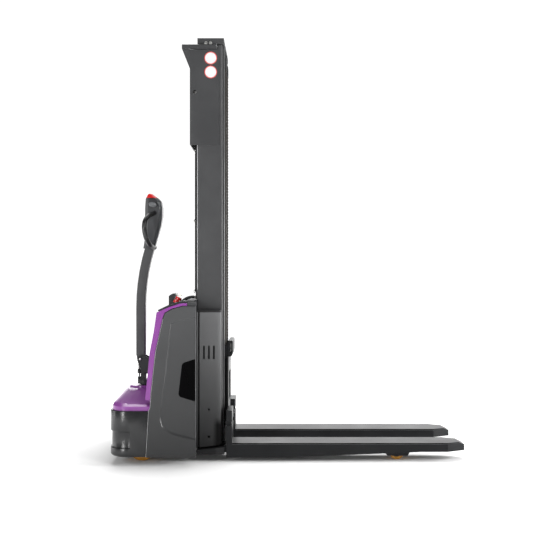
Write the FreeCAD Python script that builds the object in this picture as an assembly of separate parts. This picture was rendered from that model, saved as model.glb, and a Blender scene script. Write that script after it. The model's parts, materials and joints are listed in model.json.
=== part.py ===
import FreeCAD, Part
import math
import os
from FreeCAD import Vector

# Pedestrian stacker: a walk-behind electric lift truck for pallets.
# A hollow power body stands at the rear on a steered drive wheel and two swivel castors, and two straddle
# legs run forward under the forks to a load wheel each. A two-stage mast carries the fork carriage: the
# inner rails slide in the outer rails, and the carriage slides in the inner rails on two leaf chains.
# Frame: +X from the body to the fork tips, +Y to the left, +Z up, millimetres. The origin is on the floor,
# in the middle of the overall length and width. Pieces are drawn on the left and mirrored for the right.

os.makedirs("parts", exist_ok=True)

# Overall sizes
fork_length = 1150.0
body_length = 597.0            # from the heel face of the forks to the foremost point of the body shell
body_width = 800.0
body_height = 768.0            # to the top edge of the side panels
mast_width = 460.0             # over the outer rails
mast_height = 2093.0           # with the forks down
running_gap = 5.0              # between pieces that slide past each other
fit_gap = 0.3                  # between a roller, ring or panel and what guides or carries it
shaft_gap = 0.08               # radial clearance of an axle or rod in its bore
seam = 2.0                     # between neighbouring body panels
cut_margin = 1.0               # how far a cutting tool stands out of what it cuts

# Forks
fork_width = 170.0
fork_spread = 570.0            # over the outer sides of the two forks
fork_height = 90.0             # lowered height of the load face
fork_plate = 6.0
fork_wall = 8.0
fork_ledge = 4.0               # the load plate stands back this far from the flanges
fork_ledge_drop = 5.0
fork_heel_depth = 70.0         # depth of the fork's side flanges at the heel
fork_tip_depth = 43.0
fork_taper_start = 277.0       # from the heel face, where the flanges start to taper
fork_taper_end = 930.0
tip_slope = 30.0               # length of the slope down to the tip
tip_drop = 14.0
tip_cut_length = 90.0          # corner cut of the tip, seen from above
tip_cut_width = 48.0
heel_top = 176.0

# Carriage
carriage_depth = 33.0
front_plate = 10.0
front_plate_bottom = 116.0
front_plate_rise = 12.0        # above the chain anchors
front_plate_wing = 30.0        # beside the roller plates
window_rise = 18.0             # window's bottom edge above the cross bar
window_drop = 70.0             # window's top edge below the chain anchors
window_margin = 40.0
cross_bar_bottom = 195.0
cross_bar_top = 250.0
cross_bar_inset = 5.0          # of a cross bar's inner end from the inner side of its fork
heel_link_margin = 14.0
heel_setback = 4.0             # of a fork's heel from the carriage's back
heel_face_gap = 3.0            # from the heel face back to the link under the cross bar
roller_plate = 10.0
roller_plate_bottom = 152.0
roller_plate_top = 560.0
roller_plate_setback = 16.0    # ahead of the inner rail's rear face
anchor_top = 488.0             # bar that the chains pull on
anchor_height = 16.0
carriage_roller_width = 30.0
carriage_roller_inset = 60.0   # from the ends of the roller plate to the roller centres

# Mast rails, channels that open towards the middle of the truck
outer_depth = 123.0
outer_web = 8.0
outer_flange = 48.0
outer_flange_plate = 12.0
inner_depth = 120.0
inner_web = 8.0
inner_flange = 46.0
inner_flange_plate = 12.0
inner_bottom = 84.0
rail_side_gap = 6.0            # between an outer rail's flanges and the inner rail's web
carriage_side_gap = 7.0        # between an inner rail's flanges and the roller plates
carriage_lead = 10.0           # the carriage's back stands this much ahead of the inner rails
inner_lead = 8.5               # the inner rails stand this much ahead of the outer rails
rail_foot = 80.0               # height at which the outer rails stand on the mast foot
foot_bottom = 34.0
foot_flange_top = 56.0         # at its rear; it rises with the lower edge of the mast covers
foot_nose = 13.5               # the mast foot stands this much ahead of the outer rails
cross_plate = 8.0
cross_height = 100.0
low_cross_height = 460.0
inner_cross_depth = 58.0
inner_cross_height = 60.0
inner_cross_setback = 4.0
mast_roller_width = 34.0
mast_roller_rise = 62.0        # roller centre above the inner rail's bottom end
roller_side_gap = 2.0
roller_pin_radius = 14.0

# Mast head, over the outer rails
head_plate = 8.0
head_skirt = 29.0              # depth of the head's end plates below its top plate
head_skirt_plate = 8.0
head_inset = 4.0
head_gap = 35.0                # from the top of the outer rails to the top of the mast

# Lift cylinders and chains
chain_inset = 35.0             # from a roller plate's outer face to the chain's middle
chain_width = 18.0
chain_thickness = 14.0
chain_gap = 1.5                # between a chain's front run and the carriage plate ahead of it
cylinder_inset = 46.0          # from the chain's middle to the cylinder's axis
cylinder_radius = 26.0
cylinder_drop = 140.0          # from the top of the outer rails down to the cylinder head
cylinder_floor = 12.0
rod_radius = 18.0
rod_lift = 8.0                 # from the bottom of the bore to the end of the rod
pulley_radius = 38.0           # to the seat of the chain
pulley_drop = 84.0             # from the top of the mast to the pulley's centre
pulley_pin_radius = 12.0
pulley_side_gap = 1.0
cheek_plate = 6.0
cheek_gap = 4.0                # between a chain and the pulley's cheeks
cheek_nose = 8.0               # how far the cheeks stand ahead of the inner rails
cheek_depth = 94.0
cheek_margin = 8.0             # below the pulley
rear_anchor_height = 560.0
rear_anchor_depth = 20.0

# Guards round the mast
strip_thickness = 9.0
strip_width = 18.0
strip_rise = 4.0               # from the dash up to the strips
screen_plate = 4.0
screen_inset = 12.0            # from the outer rail's face to the screen's side edge
screen_rise = 41.0             # from the dash up to the screen
screen_bolt_rise = 4.0
screen_bolt_pitch = 344.0
screen_hole_radius = 5.2
shroud_plate = 4.0
shroud_gap = 24.0              # from the top of the outer rails down to the shroud
shroud_height = 473.0
shroud_reach = 24.0            # behind the screen
shroud_front_inset = 15.0
shroud_hole_drop = 210.0
shroud_hole_radius = 9.0
shelf_height = 21.0
shelf_reach = 39.0             # behind the shroud
shelf_plate = 4.0
shelf_arm = 8.0
shelf_arm_inset = 26.0
gusset_height = 96.0
cover_reach = 35.0             # the lower mast covers stand this far out from the outer rails
cover_plate = 4.0
cover_bottom = 64.0
cover_rise = 14.0              # of the lower edge from its rear to its front
cover_top = 731.0
cover_corner = 14.0
cover_front_inset = 4.0
slot_top = 567.0
slot_height = 66.0
slot_width = 9.0
slot_pitch = 24.5
cover_hole_radius = 6.0
cover_hole_heights = (118.0, 252.0)

# Straddle legs and load wheels
leg_width = 140.0
leg_bottom = 42.0
leg_top = 75.0
load_wheel_inset = 335.0       # from the fork tip to the load wheel's axle
load_wheel_radius = 37.0
load_wheel_width = 70.0
load_wheel_round = 4.0
load_axle_radius = 10.0
wheel_cheek = 12.0
cheek_bottom = 25.0
cheek_half_length = 64.0
cheek_slant = 14.0
cheek_overlap = 30.0
leg_nose_trim = 8.0
wheel_window_half = 46.0

# Drive and steering
steer_back = 463.5             # from the heel face back to the steering axis
drive_wheel_radius = 105.0
drive_wheel_width = 70.0
drive_wheel_round = 6.0
drive_hub_radius = 62.0
drive_hub_inset = 4.0
drive_axle_radius = 16.0
wheel_top_gap = 8.0            # between a wheel and the yoke above it
deck_plate = 8.0
ring_radius = 70.0             # bore of the deck for the steering ring
ring_flange = 22.0
ring_height = 10.0
gear_gap = 6.0
gear_thickness = 42.0
gear_half = 54.0
gear_bottom = 48.0
motor_radius = 56.0
motor_top_gap = 19.0           # below the top of the dome

# Castors
castor_back = 406.5            # from the heel face back to the castor's swivel axis
castor_inset = 158.0           # from the side of the body to the castor's swivel axis
castor_trail = 38.0
castor_radius = 65.0
castor_width = 50.0
castor_round = 5.0
castor_axle_radius = 8.0
castor_plate = 6.0
castor_side_gap = 3.0
castor_arm_half = 16.0
castor_arm_drop = 14.0         # below the axle
castor_head_radius = 38.0
castor_pad_half = 44.0
castor_pad_height = 40.0

# Steering post and tiller
pivot_rise = 134.0             # from the top of the dome to the tilt pin
pivot_lead = 22.0              # the tilt pin is this far ahead of the steering axis
pin_radius = 8.0
pin_reach = 4.0
eye_radius = 17.0
arm_depth = 47.0
arm_width = 46.0
arm_foot = 21.0                # from the tilt pin up to the full section of the arm
arm_straight = 266.0           # from the tilt pin up to the start of the bend
arm_length = 583.0             # from the tilt pin up to the end of the arm
arm_bend_radius = 1060.0
arm_bend_steps = 5
post_radius = 20.0
post_flange_radius = 40.0
post_flange_gap = 6.0          # above the dome
post_flange_height = 20.0
post_neck_bottom = 77.0        # these three are below the tilt pin
post_neck_top = 27.0
post_block_top = 55.0
ear_plate = 8.0
ear_gap = 2.0
spring_rod_radius = 4.0
spring_knob_radius = 11.0
spring_rod_drop = 30.0         # below the tilt pin
spring_lead = 9.0              # the spring's rod is this far ahead of the tilt pin
head_length = 250.0
head_depth = 91.5
head_half = 50.0
head_corner = 16.0
head_overlap = 10.0            # of the head over the end of the arm
button_height = 24.0
grip_radius = 12.0
grip_reach = 128.0             # from the middle of the truck to the middle of the hand loop
paddle_radius = 15.0
paddle_reach = 74.0
paddle_drop = 35.0             # below the top of the head

# Body shell, with heights from its own height
panel_bottom = 43.0
panel_plate = 12.0
pocket_depth = 7.0
pocket_slope = 9.0
shell_wall = 14.0
rear_reach = 6.5               # of the body shell ahead of the mast's rear
corner_radius = 90.0
bow = 8.0                      # rise of the front face between its corners
bumper_top = 0.344 * body_height
bumper_chamfer = 8.0
band_bottom = 0.112 * body_height
band_top = 0.2135 * body_height
band_depth = 7.0
band_length = 104.0
hood_inset = 10.0
hood_wall = 5.0
hood_crest_half = 150.0
hood_crest_radius = 70.0
hood_crest_lead = 85.0         # from the steering axis forward to the crest's edge
hood_overlap = 14.0
hood_top = 0.439 * body_height
dome_radius = 79.0
dome_top = 0.449 * body_height
dome_hole = 30.0
rim_width = 48.0               # of the front cover's raised rims
rim_side_inset = 3.0
rim_bottom = 0.413 * body_height
cover_wall = 5.0
dash_plate = 10.0
dash_nose = 0.964 * body_height
dash_top = 1.03 * body_height
dash_skirt = 18.0
bulkhead_plate = 8.0
bulkhead_rise = 20.0
stay_plate = 6.0
stay_height = 60.0
stay_length = 90.0
stay_inset = 60.0
pod_half = 62.0
stop_y = -95.0
hose_radius = 7.0
hose_ys = (-150.0, -128.0)
battery_size = (114.0, 370.0, 220.0)
pump_size = (108.0, 210.0, 250.0)
block_gap = 30.0

# Stations along X, from the heel face of the forks
heel_x = (body_length - fork_length) / 2
tip_x = heel_x + fork_length
front_x = heel_x - body_length
carriage_back = heel_x - carriage_depth
inner_front = carriage_back - carriage_lead
inner_rear = inner_front - inner_depth
outer_front = inner_front - inner_lead
outer_rear = outer_front - outer_depth
screen_front = outer_rear - strip_thickness
screen_rear = screen_front - screen_plate
body_rear = outer_rear + rear_reach
bulkhead_front = outer_rear - bulkhead_plate
steer_x = heel_x - steer_back
pivot_x = steer_x - pivot_lead
castor_x = heel_x - castor_back
load_x = tip_x - load_wheel_inset
front_run_x = carriage_back - chain_gap - chain_thickness / 2
pulley_x = front_run_x - pulley_radius - chain_thickness / 2
rear_run_x = pulley_x - pulley_radius - chain_thickness / 2
cylinder_x = outer_rear + cross_plate + running_gap + cylinder_radius

# Places across the truck, from its middle
body_half = body_width / 2
outer_half = mast_width / 2
inner_half = outer_half - outer_flange - rail_side_gap
plate_y = inner_half - inner_flange - carriage_side_gap
chain_y = plate_y - chain_inset
cylinder_y = chain_y - cylinder_inset
fork_half = fork_spread / 2
fork_y = fork_half - fork_width / 2
castor_y = body_half - castor_inset
rim_half = body_half - rim_width
dash_half = rim_half - seam

# Heights
outer_top = mast_height - head_gap
head_bottom = mast_height - head_plate
pulley_z = mast_height - pulley_drop
shroud_top = outer_top - shroud_gap
screen_bottom = dash_top + screen_rise
deck_bottom = bumper_top - 4 * deck_plate
deck_top = deck_bottom + deck_plate
pivot_z = dome_top + pivot_rise
post_flange_bottom = dome_top + post_flange_gap
post_flange_top = post_flange_bottom + post_flange_height
head_base = pivot_z + arm_length - head_overlap


def station(back, height):
    # A point of the body's side outline: shares of the body's length, back from the heels, and of its height
    return (heel_x - back * body_length, height * body_height)


# Front edge of the side panels, from the bottom to the top, and then their top edge: back, height
PANEL_EDGE = [(heel_x - 0.684 * body_length, panel_bottom)] + [station(*p) for p in (
    (0.662, 0.342), (0.650, 0.3685), (0.6385, 0.480), (0.606, 0.709), (0.5465, 0.920), (0.530, 0.9545),
    (0.472, 0.981), (0.3845, 0.9985))]
# Front edge of the front cover's rims, from the bottom to the top, and then their top edge: back, height
RIM_EDGE = [(heel_x - 0.6885 * body_length, rim_bottom)] + [station(*p) for p in (
    (0.678, 0.5065), (0.6535, 0.706), (0.6186, 0.845), (0.5975, 0.9595), (0.500, 0.992), (0.4095, 1.0143),
    (0.3525, 1.017))]
# Outer edge of the side panels' pocket, which runs out through their rear edge: back, height
POCKET_EDGE = [station(*p) for p in (
    (0.268, 0.940), (0.4815, 0.897), (0.529, 0.5885), (0.5745, 0.2945), (0.553, 0.237), (0.474, 0.199),
    (0.268, 0.159))]
# Top of the dash, from its nose to the bulkhead: back, height
DASH_EDGE = [station(*p) for p in (
    (0.5965, 0.964), (0.595, 0.9725), (0.499, 1.008), (0.4035, 1.0275))]
# Outline of the display pod on the dash: back, height
POD_EDGE = [station(*p) for p in (
    (0.561, 0.987), (0.561, 1.0495), (0.541, 1.061), (0.524, 1.0665), (0.506, 1.065), (0.506, 1.005))]
# Sections of the hood from its foot to its crest: height, and how far the slope has come in
HOOD_SECTIONS = ((0.3440, 0.0), (0.3700, 0.0), (0.3860, 0.09), (0.4390, 1.0))
# Sections of the tiller's head: height, rear edge, front edge, half width, each as a share of its full size
HEAD_SECTIONS = (
    (0.000, -0.100, 0.546, 0.54), (0.208, -0.010, 0.710, 0.62), (0.472, 0.010, 0.918, 0.76),
    (0.680, 0.020, 1.000, 0.92), (0.844, 0.030, 1.000, 1.00), (0.976, 0.055, 0.918, 1.00),
    (1.040, 0.065, 0.754, 0.92))
# Middle line of a hand loop, out of the head and back into it: depth, reach and height as shares
HAND_LOOP = (
    (0.590, 0.360, 0.736), (0.262, 0.720, 0.656), (0.120, 0.955, 0.528), (0.120, 1.000, 0.368),
    (0.197, 0.922, 0.208), (0.350, 0.656, 0.072), (0.480, 0.203, 0.024))
# Ear of the steering post, from the tilt pin: ahead, up
EAR_EDGE = (
    (8.0, -69.0), (44.0, -69.0), (44.0, 5.0), (20.0, 19.0), (-4.0, 19.0), (-18.0, 7.0), (-16.0, -11.0))
# A hose, from under the dash to the hose plate on the mast: back from the heel face, up from the dash
HOSE_ROUTE = ((282.0, -27.0), (228.0, 13.0), (heel_x - outer_rear, 13.0))
# Profile of the load rest, a strap bent into a loop: ahead of the carriage's back, up from its foot
REST_EDGE = (
    (0.0, 0.0), (20.0, 0.0), (27.0, 5.0), (30.5, 21.0), (30.5, 76.0), (27.0, 81.0), (8.0, 81.0), (0.0, 67.0))
REST_SLOT = ((13.0, 21.0), (19.0, 21.0), (22.5, 27.0), (22.5, 64.0), (20.0, 69.0), (13.0, 69.0))
# Parts of the emergency stop, each a disc on its leaning axis: radius, low end and high end above the dash
STOP_PARTS = ((18.0, -6.0, 7.0), (9.0, 6.0, 12.0), (16.0, 11.0, 24.0))

skirt_bottom = PANEL_EDGE[-1][1] + seam


def box(x0, x1, y0, y1, z0, z1):
    low = Vector(min(x0, x1), min(y0, y1), min(z0, z1))
    return Part.makeBox(abs(x1 - x0), abs(y1 - y0), abs(z1 - z0), low)


def rod(radius, start, end):
    start, end = Vector(*start), Vector(*end)
    return Part.makeCylinder(radius, (end - start).Length, start, end - start)


def ring(outer, inner, start, end):
    return rod(outer, start, end).cut(rod(inner, start, end))


def side_prism(points, y0, y1):
    # A solid whose outline is drawn in the X-Z plane, between two values of Y
    wire = Part.makePolygon([Vector(x, y0, z) for x, z in [*points, points[0]]])
    return Part.Face(wire).extrude(Vector(0, y1 - y0, 0))


def plan_prism(points, z0, z1):
    wire = Part.makePolygon([Vector(x, y, z0) for x, y in [*points, points[0]]])
    return Part.Face(wire).extrude(Vector(0, 0, z1 - z0))


def mirrored(shape, sign):
    return shape if sign > 0 else shape.mirror(Vector(0, 0, 0), Vector(0, 1, 0))


def both_sides(shape):
    return [mirrored(shape, sign) for sign in (1, -1)]


def fused(shapes):
    whole = shapes[0]
    for shape in shapes[1:]:
        whole = whole.fuse(shape)
    return whole.removeSplitter()


def save(name, *shapes):
    solids = [solid for shape in shapes for solid in shape.Solids]
    for solid in solids:
        if not solid.isValid() or solid.Volume <= 0:
            raise ValueError(name + " holds a solid that is not sound")
    Part.makeCompound(solids).exportStep(os.path.join("parts", name + ".step"))


def rounded_wheel(radius, bore, width, middle, round_over):
    # A wheel on an axle along Y, with its outer edges rounded
    x, y, z = middle
    wheel = ring(radius, bore, (x, y - width / 2, z), (x, y + width / 2, z))
    rims = []
    for edge in wheel.Edges:
        bounds = edge.BoundBox
        if bounds.YLength < 1 and bounds.ZLength > 1.9 * radius:
            rims.append(edge)
    return wheel.makeFillet(round_over, rims)


def smooth_path(points):
    # Straight runs joined by tangent arcs, each arc as large as its two runs allow
    points = [Vector(*point) for point in points]
    edges, last = [], points[0]
    for before, corner, after in zip(points, points[1:], points[2:]):
        back, ahead = before - corner, after - corner
        turn = math.pi - back.getAngle(ahead)
        setback = 0.45 * min(back.Length, ahead.Length)
        back.normalize()
        ahead.normalize()
        arc_start = corner + back * setback
        arc_end = corner + ahead * setback
        radius = setback / math.tan(turn / 2)
        inward = back + ahead
        inward.normalize()
        arc_middle = corner + inward * (radius / math.cos(turn / 2) - radius)
        edges.append(Part.LineSegment(last, arc_start).toShape())
        edges.append(Part.Arc(arc_start, arc_middle, arc_end).toShape())
        last = arc_end
    edges.append(Part.LineSegment(last, points[-1]).toShape())
    return Part.Wire(edges)


def tube_along(points, radius):
    start = Vector(*points[0])
    section = Part.Wire(Part.makeCircle(radius, start, Vector(*points[1]) - start))
    return smooth_path(points).makePipeShell([section], True, False)


# Mast
def rail(front, depth, half, web, flange, flange_plate, z0, z1):
    # A channel on the left: its web is outside, and its flanges turn towards the middle
    rear = front - depth
    return fused([
        box(rear, front, half - web, half, z0, z1),
        box(front - flange_plate, front, half - flange, half, z0, z1),
        box(rear, rear + flange_plate, half - flange, half, z0, z1),
    ])


def roller(x_middle, gauge_half, y_outer, y_inner, z, width):
    # A guide roller whose pin comes from the piece that it rides on, just clear of the front flange
    radius = gauge_half - fit_gap
    wheel = rod(radius, (x_middle, y_outer, z), (x_middle, y_outer - width, z))
    pin = rod(roller_pin_radius, (x_middle, y_inner, z), (x_middle, y_outer, z))
    return wheel.fuse(pin).removeSplitter()


def outer_mast():
    channel = rail(outer_front, outer_depth, outer_half, outer_web, outer_flange, outer_flange_plate,
                   rail_foot, outer_top)
    save("outer_rails", *both_sides(channel))
    foot = box(outer_rear, outer_front + foot_nose, -outer_half, outer_half, foot_bottom, rail_foot)
    # The foot's flange is as wide as the forks, and carries the legs
    nose = outer_front + foot_nose
    flange = side_prism([(outer_rear, foot_bottom), (nose, foot_bottom), (nose, foot_flange_top + cover_rise),
                         (outer_rear, foot_flange_top)], -fork_half, fork_half)
    foot = fused([foot, flange])
    # Plates across the rear of the rails: for the chain ends, for the hoses, and near the top
    reach = outer_half - outer_flange
    plates = []
    low_cross, middle_cross = rear_anchor_height - cross_height / 2, dash_top - cross_height / 3
    for bottom in (low_cross, middle_cross, outer_top - 1.1 * cross_height):
        plates.append(box(outer_rear, outer_rear + cross_plate, -reach, reach, bottom, bottom + cross_height))
    lug = box(outer_rear + cross_plate, rear_run_x + chain_thickness / 2, chain_y - chain_width / 2,
              chain_y + chain_width / 2, rear_anchor_height - rear_anchor_depth, rear_anchor_height)
    plates[0] = fused([plates[0], *both_sides(lug)])
    save("mast_cross_members", foot, *plates)


def guard_screen():
    half = outer_half - screen_inset
    strip_y = half - strip_width / 2
    screen = box(screen_rear, screen_front, -half, half, screen_bottom, shroud_top)
    for step in (1, 2):
        height = screen_bottom + screen_bolt_rise + step * screen_bolt_pitch
        hole = rod(screen_hole_radius, (screen_rear - cut_margin, strip_y, height),
                   (screen_front + cut_margin, strip_y, height))
        for one in both_sides(hole):
            screen = screen.cut(one)
    save("guard_screen", screen)
    strip = box(screen_front, outer_rear, half - strip_width, half, dash_top + strip_rise, shroud_top)
    save("screen_strips", *both_sides(strip))


def shroud_and_shelf():
    rear = screen_rear - shroud_reach
    outer = outer_half + shroud_plate
    bottom = shroud_top - shroud_height
    back = box(rear, rear + shroud_plate, -outer, outer, bottom, shroud_top)
    side = box(rear, outer_front - shroud_front_inset, outer_half, outer, bottom, shroud_top)
    hole_x = screen_rear
    hole_z = shroud_top - shroud_hole_drop
    hole = rod(shroud_hole_radius, (hole_x, -outer - cut_margin, hole_z), (hole_x, outer + cut_margin, hole_z))
    save("mast_shroud", fused([back, *both_sides(side)]).cut(hole))

    shelf_rear = rear - shelf_reach
    shelf_bottom = outer_top - shelf_height
    arm_half = outer + shelf_arm
    top = box(shelf_rear, outer_rear - cut_margin, -arm_half, arm_half, outer_top - shelf_plate, outer_top)
    lip = box(shelf_rear, shelf_rear + shelf_plate, -arm_half, arm_half, shelf_bottom, outer_top)
    arm = box(shelf_rear, outer_front - shelf_arm_inset, outer_half, arm_half, shelf_bottom, outer_top)
    gusset = side_prism([(shelf_rear, shelf_bottom), (rear, shelf_bottom), (rear, shelf_bottom - gusset_height)],
                        outer_half, outer)
    save("top_shelf", fused([top, lip, *both_sides(arm), *both_sides(gusset)]))


def mast_covers():
    rear, front = outer_rear + fit_gap, outer_front - cover_front_inset
    outer = outer_half + cover_reach
    inner = outer - cover_plate
    plate = side_prism([(rear, cover_bottom), (front, cover_bottom + cover_rise), (front, cover_top),
                        (rear, cover_top)], inner, outer)
    corners = []
    for edge in plate.Edges:
        bounds = edge.BoundBox
        if bounds.YLength > 1 and bounds.XLength < 1 and bounds.ZMax < cover_top - 1:
            corners.append(edge)
    plate = plate.makeFillet(cover_corner, corners)
    # Folded edges that reach in to the outer rail
    folds = []
    for x0, x1 in ((rear, rear + cover_plate), (front - cover_plate, front)):
        folds.append(box(x0, x1, outer_half, inner, cover_bottom + cover_rise + cover_corner, cover_top))
    cover = fused([plate, *folds])
    middle = (rear + front) / 2
    for step in (-1, 0, 1):
        x = middle + step * slot_pitch
        cover = cover.cut(box(x - slot_width / 2, x + slot_width / 2, inner - cut_margin, outer + cut_margin,
                              slot_top - slot_height, slot_top))
    for height in cover_hole_heights:
        cover = cover.cut(rod(cover_hole_radius, (middle, inner - cut_margin, height),
                              (middle, outer + cut_margin, height)))
    save("mast_covers", *both_sides(cover))


def lift_cylinders():
    bore_bottom = rail_foot + cylinder_floor
    top = outer_top - cylinder_drop
    at = (cylinder_x, cylinder_y)
    barrel = rod(cylinder_radius, (*at, rail_foot), (*at, top))
    bore = rod(rod_radius + shaft_gap, (*at, bore_bottom), (*at, top + cut_margin))
    save("lift_cylinders", *both_sides(barrel.cut(bore)))
    save("lift_rods", *both_sides(rod(rod_radius, (*at, bore_bottom + rod_lift), (*at, head_bottom))))


def inner_mast():
    channel = rail(inner_front, inner_depth, inner_half, inner_web, inner_flange, inner_flange_plate,
                   inner_bottom, head_bottom)
    save("inner_rails", *both_sides(channel))

    half = outer_half - head_inset
    pieces = [box(outer_rear, inner_front, -half, half, head_bottom, mast_height)]
    skirt = box(outer_rear, inner_front, half - head_skirt_plate, half, head_bottom - head_skirt + head_plate,
                mast_height)
    pieces += both_sides(skirt)
    # Cheeks hold the chain pulleys, with their front corners cut back
    low = pulley_z - pulley_radius - cheek_margin
    rear, front = inner_front - cheek_depth, inner_front + cheek_nose
    outline = [(rear, head_bottom), (rear, low), (front, low), (front, pulley_z),
               (inner_front - cheek_nose, head_bottom)]
    reach = chain_width / 2 + cheek_gap
    for edge in (-1, 1):
        inner = chain_y + edge * reach
        pieces += both_sides(side_prism(outline, inner, inner + edge * cheek_plate))
    wheel_half = chain_width / 2 - pulley_side_gap
    wheel = rod(pulley_radius - fit_gap, (pulley_x, chain_y - wheel_half, pulley_z),
                (pulley_x, chain_y + wheel_half, pulley_z))
    pin = rod(pulley_pin_radius, (pulley_x, chain_y - reach, pulley_z), (pulley_x, chain_y + reach, pulley_z))
    pieces += [*both_sides(wheel), *both_sides(pin)]
    cross_front = inner_front - inner_cross_setback
    cross_half = inner_half - inner_flange
    cross = box(cross_front - inner_cross_depth, cross_front, -cross_half, cross_half, inner_bottom,
                inner_bottom + inner_cross_height)
    save("inner_cross_members", fused(pieces), cross)

    one = roller(outer_front - outer_depth / 2, outer_depth / 2 - outer_flange_plate,
                 outer_half - outer_web - roller_side_gap, inner_half, inner_bottom + mast_roller_rise,
                 mast_roller_width)
    save("inner_rollers", *both_sides(one))


def chains():
    half = chain_thickness / 2
    y0, y1 = chain_y - chain_width / 2, chain_y + chain_width / 2
    front = box(front_run_x - half, front_run_x + half, y0, y1, anchor_top, pulley_z)
    save("chains_front", *both_sides(front))
    down = box(rear_run_x - half, rear_run_x + half, y0, y1, rear_anchor_height, pulley_z)
    over = ring(pulley_radius + chain_thickness, pulley_radius, (pulley_x, y0, pulley_z), (pulley_x, y1, pulley_z))
    over = over.common(box(rear_run_x - half, front_run_x + half, y0, y1, pulley_z, mast_height))
    save("chains_rear", *both_sides(fused([down, over])))


# Carriage and forks
def carriage():
    rollers = []
    for height in (roller_plate_bottom + carriage_roller_inset, roller_plate_top - carriage_roller_inset):
        rollers += both_sides(roller(inner_front - inner_depth / 2, inner_depth / 2 - inner_flange_plate,
                                     inner_half - inner_web - roller_side_gap, plate_y, height,
                                     carriage_roller_width))
    save("carriage_rollers", *rollers)

    plate_half = plate_y + front_plate_wing
    plate = box(carriage_back, carriage_back + front_plate, -plate_half, plate_half, front_plate_bottom,
                anchor_top + front_plate_rise)
    window_half = plate_y - window_margin
    window = box(carriage_back - cut_margin, carriage_back + front_plate + cut_margin, -window_half, window_half,
                 cross_bar_top + window_rise, anchor_top - window_drop)
    bar = box(carriage_back + front_plate / 2, heel_x, fork_half - fork_width + cross_bar_inset, fork_half,
              cross_bar_bottom, cross_bar_top)
    link = box(carriage_back, heel_x - heel_face_gap, fork_half - fork_width + heel_link_margin,
               fork_half - heel_link_margin, heel_top, cross_bar_bottom)
    anchor = box(front_run_x - chain_thickness / 2, carriage_back, chain_y - chain_width / 2,
                 chain_y + chain_width / 2, anchor_top - anchor_height, anchor_top)
    side = box(inner_rear + roller_plate_setback, carriage_back, plate_y - roller_plate, plate_y,
               roller_plate_bottom, roller_plate_top)
    ends = [*both_sides(bar), *both_sides(link), *both_sides(anchor)]
    save("carriage_frame", fused([plate.cut(window), *ends]))
    save("roller_plates", *both_sides(side))
    rest_foot = anchor_top + front_plate_rise
    loop = [(carriage_back + ahead, rest_foot + up) for ahead, up in REST_EDGE]
    slot = [(carriage_back + ahead, rest_foot + up) for ahead, up in REST_SLOT]
    slot = side_prism(slot, -plate_y - cut_margin, plate_y + cut_margin)
    save("load_rest", side_prism(loop, -plate_y, plate_y).cut(slot))
    for name, sign in (("left", 1), ("right", -1)):
        save("fork_" + name, mirrored(one_fork(), sign))


def one_fork():
    # An inverted channel with tapered flanges, cut corners and a slope at its tip, and a block at its heel
    y0, y1 = fork_y - fork_width / 2, fork_y + fork_width / 2
    back = carriage_back + heel_setback
    heel_bottom, tip_bottom = fork_height - fork_heel_depth, fork_height - fork_tip_depth
    outline = [(back, heel_bottom), (heel_x + fork_taper_start, heel_bottom), (heel_x + fork_taper_end, tip_bottom),
               (tip_x, tip_bottom), (tip_x, fork_height - tip_drop), (tip_x - tip_slope, fork_height),
               (back, fork_height)]
    whole = side_prism(outline, y0, y1)
    hollow = box(back - cut_margin, tip_x - tip_slope, y0 + fork_wall, y1 - fork_wall, 0,
                 fork_height - fork_plate)
    cut_x = tip_x - tip_cut_length
    for edge, inward in ((y0, 1), (y1, -1)):
        far = edge + inward * tip_cut_width
        wall = inward * fork_wall
        whole = whole.cut(plan_prism([(cut_x, edge), (tip_x, far), (tip_x, edge)], 0, fork_height))
        hollow = hollow.cut(plan_prism([(cut_x, edge + wall), (tip_x, far + wall), (tip_x, edge + wall)],
                                       0, fork_height))
    # The load plate stands back from the flanges, which leaves a ledge all along them
    ledge_top = fork_height + cut_margin
    ledge = box(heel_x, tip_x, y0, y1, fork_height - fork_ledge_drop, ledge_top)
    turn = fork_ledge * tip_cut_width / tip_cut_length
    low, high, past = y0 + fork_ledge, y1 - fork_ledge, tip_x + cut_margin
    ledge = ledge.cut(plan_prism([
        (heel_x - cut_margin, low), (cut_x - turn, low), (past, low + tip_cut_width), (past, high - tip_cut_width),
        (cut_x - turn, high), (heel_x - cut_margin, high)], 0, ledge_top + cut_margin))
    heel = box(back, heel_x, y0, y1, fork_height - fork_plate, heel_top)
    fork = fused([whole.cut(hollow).cut(ledge), heel])
    # Room for the lower corner of the carriage's plate
    corner = box(back - cut_margin, carriage_back + front_plate, y0 - cut_margin, plate_y + front_plate_wing,
                 front_plate_bottom, heel_top + cut_margin)
    return fork.cut(corner)


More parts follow.
